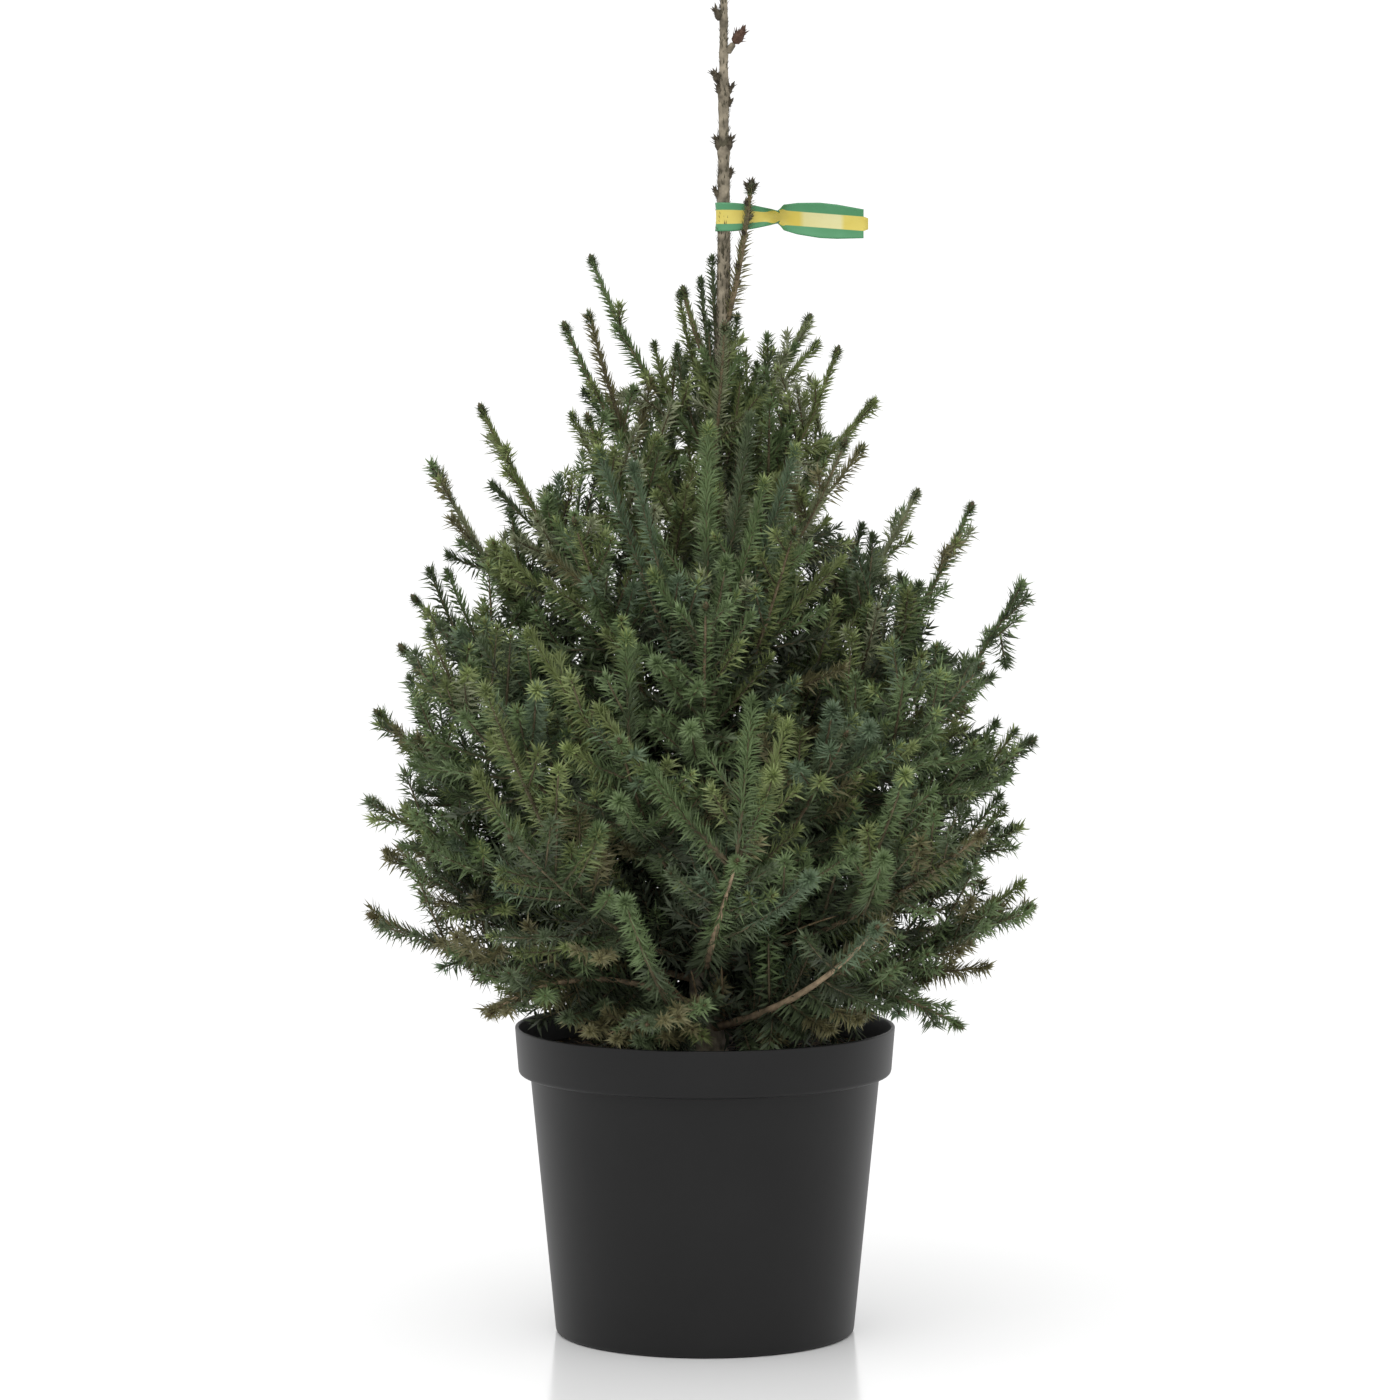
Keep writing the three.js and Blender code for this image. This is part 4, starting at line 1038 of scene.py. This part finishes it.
limb_bare = np.where(limbs.whorl == WHORL["skirt"], 0.28, 0.12)
limb_bare[BARE_BOUGH] = 0.75
limb_dense = np.where(limbs.whorl > WHORL["middle"], 1.6, 1.25)
limb_neck = np.where(limbs.whorl > WHORL["waist"], 0.20, 0.0)
inner_wide = np.where(low_inside, 1.45, 1.1)
plume_dense = np.where(plumes.whorl > WHORL["skirt"], 1.3, 2.0)
plume_dense[:FRONT_PLUMES] = 1.8
needle_groups = [
    needled(limbs, limb_tint, limb_bare, limb_dense, 11, shaggy=0.6, neck=limb_neck),
    needled(side_shoots, shoot_tint, 0.06, 0.95, 12),
    needled(twigs, twig_tint, 0.05, 0.95, 13),
    needled(inner_twigs, inner_tint, 0.05, 0.72 / inner_wide, 14, inner_wide),
    needled(candles, candle_tint, 0.10, 1.2, 15, neck=0.34),
    needled(plumes, plume_tint, plume_bare, plume_dense, 16, shaggy=0.35),
    needled(plume_twigs, spray_tint, 0.05, 1.0, 17),
    needled(outer_shoots, outer_tint, 0.05, 1.0, 18),
]
print([len(points) for points, _ in needle_groups], "needles on each kind of shoot")

# %% [markdown]
# ## Tips
# A shoot ends in a dome of short needles. Limbs, candles and plumes end in a club, which is a whole
# ball of them, and limbs and side shoots have a bud inside. These ends are what the eye reads as a
# tip, so every shoot but the inner twigs gets one, and young ones are lighter than their spray.

# %% Tip needles and buds
YOUNG_SHARE = np.array([0.00, 0.16, 0.38, 0.42, 0.32, 0.16, 0.10, 0.0])  # of the tips of each whorl
MOST_NEEDLES = 48000  # in one piece


def ends(curves):
    """The last point of each curve and the direction there."""
    which = np.arange(len(curves.limb))
    return place(curves, which, np.ones(len(which)))


def tips(curves, tint, size, count, seed, club=False):
    """A dome of short needles round each curve's end, from straight on to sideways; a club's is a ball."""
    end, forward = ends(curves)
    across, above = frame_along(forward)
    luck = np.random.default_rng(seed).random((3, len(end), count))
    turn = GOLDEN_ANGLE * np.arange(count) + 6.28 * luck[0, :, :1]
    share = np.arange(count) / count
    fan = np.degrees(np.arccos(mix(0.98, -0.45, share))) if club else mix(14, 80, share)
    tilt = np.radians(fan + 14 * (luck[1] - 0.5))[..., None]
    radial = above[:, None] * np.cos(turn)[..., None] + across[:, None] * np.sin(turn)[..., None]
    aim = unit(forward[:, None] * np.cos(tilt) + radial * np.sin(tilt))
    root = end[:, None] - forward[:, None] * mix(0.0, 0.003 if club else 0.006, share)[:, None]
    size = np.broadcast_to(size, len(end))[:, None]
    length = size * mix(0.8, 1.1, luck[2]) * (1.0 if club else mix(0.65, 1.05, share))
    return needle_corners(root, aim, radial, length, 1.1 * NEEDLE_WIDTH), np.repeat(tint, count)


def tip_tint(tint, curves, seed):
    """Tips that a draw makes young are light; the others keep the tint of their spray."""
    draw = np.random.default_rng(seed).random(len(tint))
    return np.where(draw < YOUNG_SHARE[curves.whorl], young, tint)


def spindles(root, aim, length, radius, sides=4):
    """Plump pointed bodies: radii 0, 0.8, 1, 0.6 and 0 of the width along a straight line."""
    share = np.array([0.0, 0.15, 0.45, 0.8, 1.0])
    centres = root[:, None] + aim[:, None] * (length[:, None] * share)[..., None]
    return tubes(centres, radius[:, None] * np.array([0.0, 0.8, 1.0, 0.6, 0.0]), sides)


in_front = np.arange(len(PLUMES)) < FRONT_PLUMES
club_size = np.where(limbs.whorl > WHORL["waist"], 0.0066, 0.0076)
club_tint = np.where(limbs.whorl >= WHORL["middle"], deep, limb_tint)
edge_plume = ~in_front & (plumes.whorl > WHORL["skirt"])
plume_tip_tint = np.where(edge_plume, deep, tip_tint(plume_tint, plumes, 33))
tip_groups = [
    tips(limbs, club_tint, club_size, 64, 21, club=True),
    tips(side_shoots, tip_tint(shoot_tint, side_shoots, 31), 0.0096, 18, 22),
    tips(twigs, tip_tint(twig_tint, twigs, 32), 0.0090, 13, 23),
    tips(candles, np.full(len(CANDLES), deep), 0.0060, 50, 24, club=True),
    tips(outer_shoots, tip_tint(outer_tint, outer_shoots, 35), 0.0082, 13, 27),
    tips(plumes, plume_tip_tint, np.where(in_front, 0.0098, 0.0066), 48, 25, club=True),
    tips(plume_twigs, tip_tint(spray_tint, plume_twigs, 34), 0.0095, 18, 26),
]
needle_points, needle_tints = (np.concatenate(kind) for kind in zip(*needle_groups, *tip_groups))
for tint, (name, colour) in enumerate(TINTS.items()):
    colour = np.array(colour)
    material = mottled(f"needles_{name}", 0.8 * colour, 1.2 * colour, 45, 0.6, 0.5)
    mine = needle_points[needle_tints == tint]
    for part, chunk in enumerate(np.array_split(mine, -(-len(mine) // MOST_NEEDLES))):
        make_needles(f"needles_{name}_{part + 1}", chunk, material, FOLIAGE)

tip_point, tip_aim = (np.concatenate(both) for both in zip(ends(limbs), ends(side_shoots)))
tip_bud = np.where(np.arange(len(tip_point)) < len(limbs.limb), 0.0090, 0.0045)
tip_bud_root = tip_point - 0.35 * tip_bud[:, None] * tip_aim
bud_brown = mottled("bud_brown", (0.050, 0.030, 0.016), (0.110, 0.078, 0.036), 200, 0.6, 0.35)
tip_buds = spindles(tip_bud_root, tip_aim, tip_bud, 0.28 * tip_bud)
make_piece("tip_buds", *tip_buds, bud_brown, "bark", FOLIAGE)

# %% [markdown]
# ## Buds on the leader
# The bare leader is studded with buds, each a knob of scales with a few sharp leaflets round it, and
# with sparse needles pressed close to the stem. They are the same spindles and needles as before.

# %% Leader buds and needles
BUD_LENGTH, BUD_RADIUS, BUD_SIDES = 0.0085, 0.0026, 8
SCALES = 26  # on each bud
SCALE_TILTS = 6, 46  # degrees
SCALE_RISE, SCALE_OUT = 0.0065, 0.0008  # how far along the bud and off its axis scales start
SCALE_LENGTHS, SCALE_WIDTH = (0.0040, 0.0068), 0.36  # metres, and a share of the length
SECOND_LEADER = 45  # its limb number
SECOND_BUDS = np.array([  # share along it, bearing
    (0.34, 60), (0.46, 240), (0.57, 80), (0.68, 250), (0.79, 40), (0.88, 230),
])
STALK_RINGS = 6


def knobs(name, foot, aim, size, seed, material):
    """Buds: spindles with scales round them by the golden angle, tilted out by a draw."""
    body, body_faces = spindles(foot, aim, BUD_LENGTH * size, BUD_RADIUS * size, BUD_SIDES)
    luck = np.random.default_rng(seed).random((3, len(foot), SCALES))
    across, above = frame_along(aim, BACK)
    turn = GOLDEN_ANGLE * np.arange(SCALES)[:, None]
    radial = above[:, None] * np.cos(turn) + across[:, None] * np.sin(turn)
    tilt = np.radians(mix(*SCALE_TILTS, luck[0]))[..., None]
    scale_aim = unit(aim[:, None] * np.cos(tilt) + radial * np.sin(tilt))
    rise = (SCALE_RISE * luck[1] * size[:, None])[..., None]
    root = foot[:, None] + aim[:, None] * rise + SCALE_OUT * radial
    length = mix(*SCALE_LENGTHS, luck[2]) * size[:, None]
    scales = needle_corners(root, scale_aim, radial, length, SCALE_WIDTH * length)
    points = np.concatenate([body, scales.reshape(-1, 3)])
    faces = np.concatenate([body_faces, loose_faces(len(scales)) + len(body)])
    make_piece(name, points, faces, material, "bark", ["trunk"], smooth=False)


bud_height, bud_bearing, bud_lean, bud_stalk, bud_size = LEADER_BUDS.T
lean = np.radians(bud_lean)[:, None]
bud_out = towards(bud_bearing)
bud_aim = bud_out * np.sin(lean) + UP * np.cos(lean)
bud_base = on_trunk(bud_height, bud_out, 0.6)
bud_foot = bud_base + bud_aim * bud_stalk[:, None]
second, second_aim = place(limbs, np.full(len(SECOND_BUDS), SECOND_LEADER), SECOND_BUDS[:, 0])
second_out = towards(SECOND_BUDS[:, 1])
top, top_aim = place(limbs, np.full(3, SECOND_LEADER), np.full(3, 0.97))
top_out = np.array([(0.0, 0.0, 0.0), (-0.55, -0.2, 0.0), (0.6, 0.1, 0.0)])
crown_bud = trunk_point(np.array([TRUNK_TIP - 0.003]))
on_stalk = bud_stalk > 0
bud_dark = mottled("bud_dark", (0.042, 0.034, 0.022), (0.096, 0.080, 0.052), 220, 0.7, 0.3)
bud_red = mottled("bud_red", (0.048, 0.024, 0.016), (0.104, 0.056, 0.034), 220, 0.7, 0.3)
knobs(
    "leader_buds",
    np.concatenate([bud_foot[~on_stalk], second + 0.0015 * second_out, top, crown_bud]),
    unit(np.concatenate([bud_aim[~on_stalk], second_aim + 0.7 * second_out, top_aim + top_out, UP[None]])),
    np.concatenate([bud_size[~on_stalk], np.full(len(SECOND_BUDS), 0.55), [1.1, 0.85, 0.9], [1.0]]),
    41, bud_dark,
)
knobs("leader_bud_red", bud_foot[on_stalk], bud_aim[on_stalk], bud_size[on_stalk], 43, bud_red)
stalk_share = np.linspace(0, 1.2, STALK_RINGS)[:, None]
stalk_path = mix(bud_base[on_stalk][:, None], bud_foot[on_stalk][:, None], stalk_share)
stalk_radii = taper(np.full(len(stalk_path), 0.0028), 0.0022, STALK_RINGS)
make_piece("leader_stalk", *tubes(stalk_path, stalk_radii, 8), bark, "bark", ["trunk"])

SPINES = 1100
luck = np.random.default_rng(42).random((4, SPINES))
spine_height = mix(0.680, 1.000, luck[0] ** 2.0)
spine_out = towards(360 * luck[1])
spine_aim = unit(spine_out * mix(0.2, 0.6, luck[2])[:, None] + UP)
spine_root = on_trunk(spine_height, spine_out, 0.8)
spine_length = mix(0.006, 0.010, luck[3]) * np.interp(spine_height, [0.75, 0.95], [1.2, 0.7])
spines = needle_corners(spine_root, spine_aim, spine_out, spine_length, 0.0011)
BAND_HEIGHT, BAND_SCALES = 0.871, 22
luck = np.random.default_rng(44).random((2, BAND_SCALES))
band_out = towards(GOLDEN_ANGLE * np.degrees(1) * np.arange(BAND_SCALES))
band_height = BAND_HEIGHT + 0.004 * luck[0]
band_root = on_trunk(band_height, band_out, 0.9)
band_aim = unit(UP + 0.16 * band_out)
band = needle_corners(band_root, band_aim, band_out, mix(0.010, 0.014, luck[1]), 0.0032)
leader_scales = mottled("leader_scales", (0.055, 0.048, 0.030), (0.100, 0.090, 0.055), 90, 0.7, 0.3)
make_needles("leader_scales", np.concatenate([spines, band]), leader_scales, ["trunk"])

# %% [markdown]
# ## Fallen needles
# Old needles drop on the soil and lie there, brown and criss-cross. They are the same needles, laid
# flat at random bearings on the soil's own height.

# %% Litter
LITTER = 1200
luck = np.random.default_rng(51).random((4, LITTER))
litter_spot = towards(360 * luck[0]) * (0.94 * SOIL_RADIUS * np.sqrt(luck[1]))[:, None] + UP * SOIL_LEVEL
litter_spot[:, 2] += crumbs(litter_spot) + 0.0008
litter_aim = unit(towards(360 * luck[2]) + UP * (0.3 * (luck[3] - 0.5))[:, None])
litter_face = np.tile(UP, (LITTER, 1))
litter = needle_corners(litter_spot, litter_aim, litter_face, mix(0.009, 0.014, luck[3]), 0.0015)
litter_brown = mottled("litter_brown", (0.070, 0.044, 0.022), (0.190, 0.125, 0.060), 140, 0.8, 0.2)
make_needles("litter", litter, litter_brown, ["soil"])

# %% [markdown]
# ## The ribbon
# A grower's tape marks the plant: green with a yellow stripe, looped round the leader, pinched in a
# knot and flared again to its cut end. It is a strip carried along a path seen from above. Across,
# the strip is an arc: slightly bowed in the tail, folded far back at the pinch. The stripe turns
# cream along part of the tail, a painted sheen where light glances off the tape. It is drawn by the
# strip's own UV map, so it follows every fold.

# %% Ribbon
RIBBON_HEIGHT = 0.827
RIBBON_KNOT, RIBBON_END = 0.038, 0.1028
TAPE_GAP = 0.0006  # from the middle of the knot to each run
PINCH, PINCH_FOLD = 0.007, 140  # its length, and degrees
TAIL_BOW, LOOP_BOW, TAIL_DROP = 20, 8, 0.005  # degrees, degrees, metres
TAPE_THICKNESS, TONGUE = 0.0004, 0.0034  # the tongue is what the cut end's middle stands out
LOOP_FROM = 0.006  # where the straight runs meet the turn round the leader
STRIP_ACROSS, TAIL_STEPS, LOOP_STEPS = 17, 90, 30
# The stripe fills half of a strip this high to each side, and less of a higher one.
STRIPE_REACH = 0.0105
STRIPE_EDGE = 0.240, 0.250  # shares of the width from the middle
SHEEN_RISE, SHEEN_FALL = (0.085, 0.105), (0.268, 0.292)  # where the stripe's painted sheen rises and dies away, as shares of the strip's length


def ribbon_strip(name, path, half, fold, drop, material):
    """A strip of two faces: height half sin(v fold), depth half (1 - cos(v fold)), along a path."""
    v = np.linspace(-1, 1, STRIP_ACROSS)
    bent = v * fold[:, None]
    scale = (half / np.sin(np.minimum(fold, np.pi / 2)))[:, None]
    heading = unit(np.gradient(path, axis=0))
    outward = np.cross(heading, UP)
    lift = scale * np.sin(bent) + drop[:, None]
    depth = scale * (1 - np.cos(bent))
    middle = path[:, None] + UP * lift[..., None] - outward[:, None] * depth[..., None]
    middle[0] -= TONGUE * (np.abs(v) < 0.5)[:, None] * heading[0]
    to_skin = 0.5 * TAPE_THICKNESS * outward[:, None]
    front, back = middle + to_skin, middle - to_skin
    section = np.concatenate([front, back[:, ::-1], front[:, :1]], axis=1)
    across = np.concatenate([v, v[::-1], v[:1]])
    count, columns = section.shape[:2]
    body = grid_triangles(count, columns)
    cap = grid_triangles(2, STRIP_ACROSS)
    flip = np.where(cap >= STRIP_ACROSS, 2 * STRIP_ACROSS - 1 - (cap - STRIP_ACROSS), cap)
    triangles = np.concatenate([body, flip[:, ::-1], flip + (count - 1) * columns])
    points = section.reshape(-1, 3)
    run = np.linspace(0, 1, count)
    spread = np.maximum(half / STRIPE_REACH, 1)[:, None] * across
    uv = np.stack([np.broadcast_to(run[:, None], spread.shape), 0.5 + 0.5 * spread], axis=-1)
    strip = make_piece(name, points, triangles, material, "ribbon", ["ribbon"])
    layer = strip.data.uv_layers.new(name="strip")
    layer.data.foreach_set("uv", uv.reshape(-1, 2)[triangles.ravel()].astype(np.float32).ravel())


def rising(tree, value, first, last):
    """The output of a node that goes from 0 to 1 as a value goes from first to last."""
    return add(tree, "MapRange", {"Value": value, "From Min": first, "From Max": last})["Result"]


def worked(tree, operation, value, other):
    """The output of a math node on a value and a second one."""
    return add(tree, "Math", {0: value, 1: other}, operation=operation)["Value"]


def blended(tree, factor, first, second):
    """The output of a node that mixes two colours by a factor."""
    return add(tree, "Mix", {"Factor": factor, "A": first, "B": second}, data_type="RGBA")["Result"]


ribbon_tape = mottled("ribbon_tape", (0.050, 0.215, 0.085), (0.082, 0.270, 0.130), 30, 0.42, 0.4)
tree = ribbon_tape.node_tree
split = add(tree, "SeparateXYZ", {"Vector": add(tree, "UVMap", {}, uv_map="strip")["UV"]})
# Painted sheen: along part of the tail the yellow stripe blends into cream, for a highlight on the tape.
sheen_rise, sheen_fall = (rising(tree, split["X"], *run) for run in (SHEEN_RISE, SHEEN_FALL))
painted_sheen = worked(tree, "SUBTRACT", sheen_rise, sheen_fall)
yellow = mottle(tree, (0.54, 0.42, 0.055), (0.66, 0.57, 0.150), 25)
cream = mottle(tree, (0.58, 0.53, 0.230), (0.66, 0.63, 0.340), 25)
stripe = blended(tree, painted_sheen, yellow, cream)
from_middle = worked(tree, "ABSOLUTE", worked(tree, "SUBTRACT", split["Y"], 0.5), 0.0)
tape_colour = tree.nodes["Principled BSDF"].inputs["Base Color"]
green = tape_colour.links[0].from_socket
past_stripe = rising(tree, from_middle, *STRIPE_EDGE)
tree.links.new(blended(tree, past_stripe, stripe, green), tape_colour)

leader = trunk_point(np.array([RIBBON_HEIGHT]))[0]
loop_radius = trunk_radius(np.array([RIBBON_HEIGHT - 0.02]))[0] + 0.0009
tail_x = np.linspace(RIBBON_END, LOOP_FROM, TAIL_STEPS)
arc = np.linspace(-np.pi / 2, -3 * np.pi / 2, LOOP_STEPS)
back_x = np.linspace(LOOP_FROM, RIBBON_KNOT, LOOP_STEPS)
flat_x = np.concatenate([tail_x, loop_radius * np.cos(arc), back_x])
closing = np.clip(1 - flat_x / RIBBON_KNOT, 0, 1) ** 0.5
flat_y = np.concatenate([
    -TAPE_GAP - loop_radius * closing[:TAIL_STEPS], loop_radius * np.sin(arc),
    TAPE_GAP + loop_radius * closing[-LOOP_STEPS:],
])
from_knot = (flat_x - RIBBON_KNOT) / (RIBBON_END - RIBBON_KNOT)
tail_half = np.interp(
    from_knot, [0, 0.05, 0.09, 0.25, 0.5, 0.7, 1.0],
    [0.0038, 0.0062, 0.0094, 0.0116, 0.0130, 0.0126, 0.0106],
)
loop_half = mix(0.0105, 0.0045, np.clip(flat_x / RIBBON_KNOT, 0, 1) ** 2)
half = np.where(from_knot > 0, tail_half, loop_half)
pinch = np.exp(-(((flat_x - RIBBON_KNOT) / PINCH) ** 2))
fold = np.radians(mix(np.where(from_knot > 0, TAIL_BOW, LOOP_BOW), PINCH_FOLD, pinch))
drop = -TAIL_DROP * np.clip(from_knot, 0, 1)
path = leader + np.stack([flat_x, flat_y, 0 * flat_x], axis=1)
keep = np.concatenate([[True], np.linalg.norm(np.diff(path, axis=0), axis=1) > 1e-5])
ribbon_strip("ribbon_tape", path[keep], half[keep], fold[keep], drop[keep], ribbon_tape)

# %% [markdown]
# ## Camera, floor and light
# The camera stands where the photograph's did, found from the pot's rim, collar and foot. A white,
# faintly glossy floor and a bright, even surround make the soft light of a catalogue picture, and a
# broad lamp overhead and to the left adds a little direction.

# %% Stage
scene = bpy.context.scene
camera = bpy.data.objects.new("camera", bpy.data.cameras.new("camera"))
camera.data.lens = 131.62
camera.data.sensor_width = 36.0
camera.location = (-0.0037, -3.7776, 0.7398)
camera.rotation_euler = (np.pi / 2 - 0.0710, 0, 0)
scene.collection.objects.link(camera)
scene.camera = camera

FLOOR_HALF = 30.0
floor_points = FLOOR_HALF * np.array([(-1, -1, 0), (1, -1, 0), (1, 1, 0), (-1, 1, 0)], dtype=float)
floor_mesh = bpy.data.meshes.new("floor")
floor_mesh.from_pydata(floor_points.tolist(), [], [(0, 1, 2, 3)])
floor = bpy.data.objects.new("floor", floor_mesh)
scene.collection.objects.link(floor)
floor_white = mottled("floor_white", (0.90, 0.90, 0.90), (0.91, 0.91, 0.91), 2, 0.16, 0.25)
floor_mesh.materials.append(floor_white)

world = bpy.data.worlds.new("studio")
world.use_nodes = True
world.node_tree.nodes["Background"].inputs["Color"].default_value = (1, 1, 1, 1)
world.node_tree.nodes["Background"].inputs["Strength"].default_value = 1.1
scene.world = world
scene.view_settings.view_transform = "Standard"

lamp = bpy.data.lights.new("key", "AREA")
lamp.size = 2.4
lamp.energy = 30
key = bpy.data.objects.new("key", lamp)
key.location = (-0.5, -1.6, 2.8)
key.rotation_euler = (Vector((0, 0, 0.45)) - key.location).to_track_quat("-Z", "Y").to_euler()
scene.collection.objects.link(key)
print("camera", [round(value, 3) for value in camera.location])
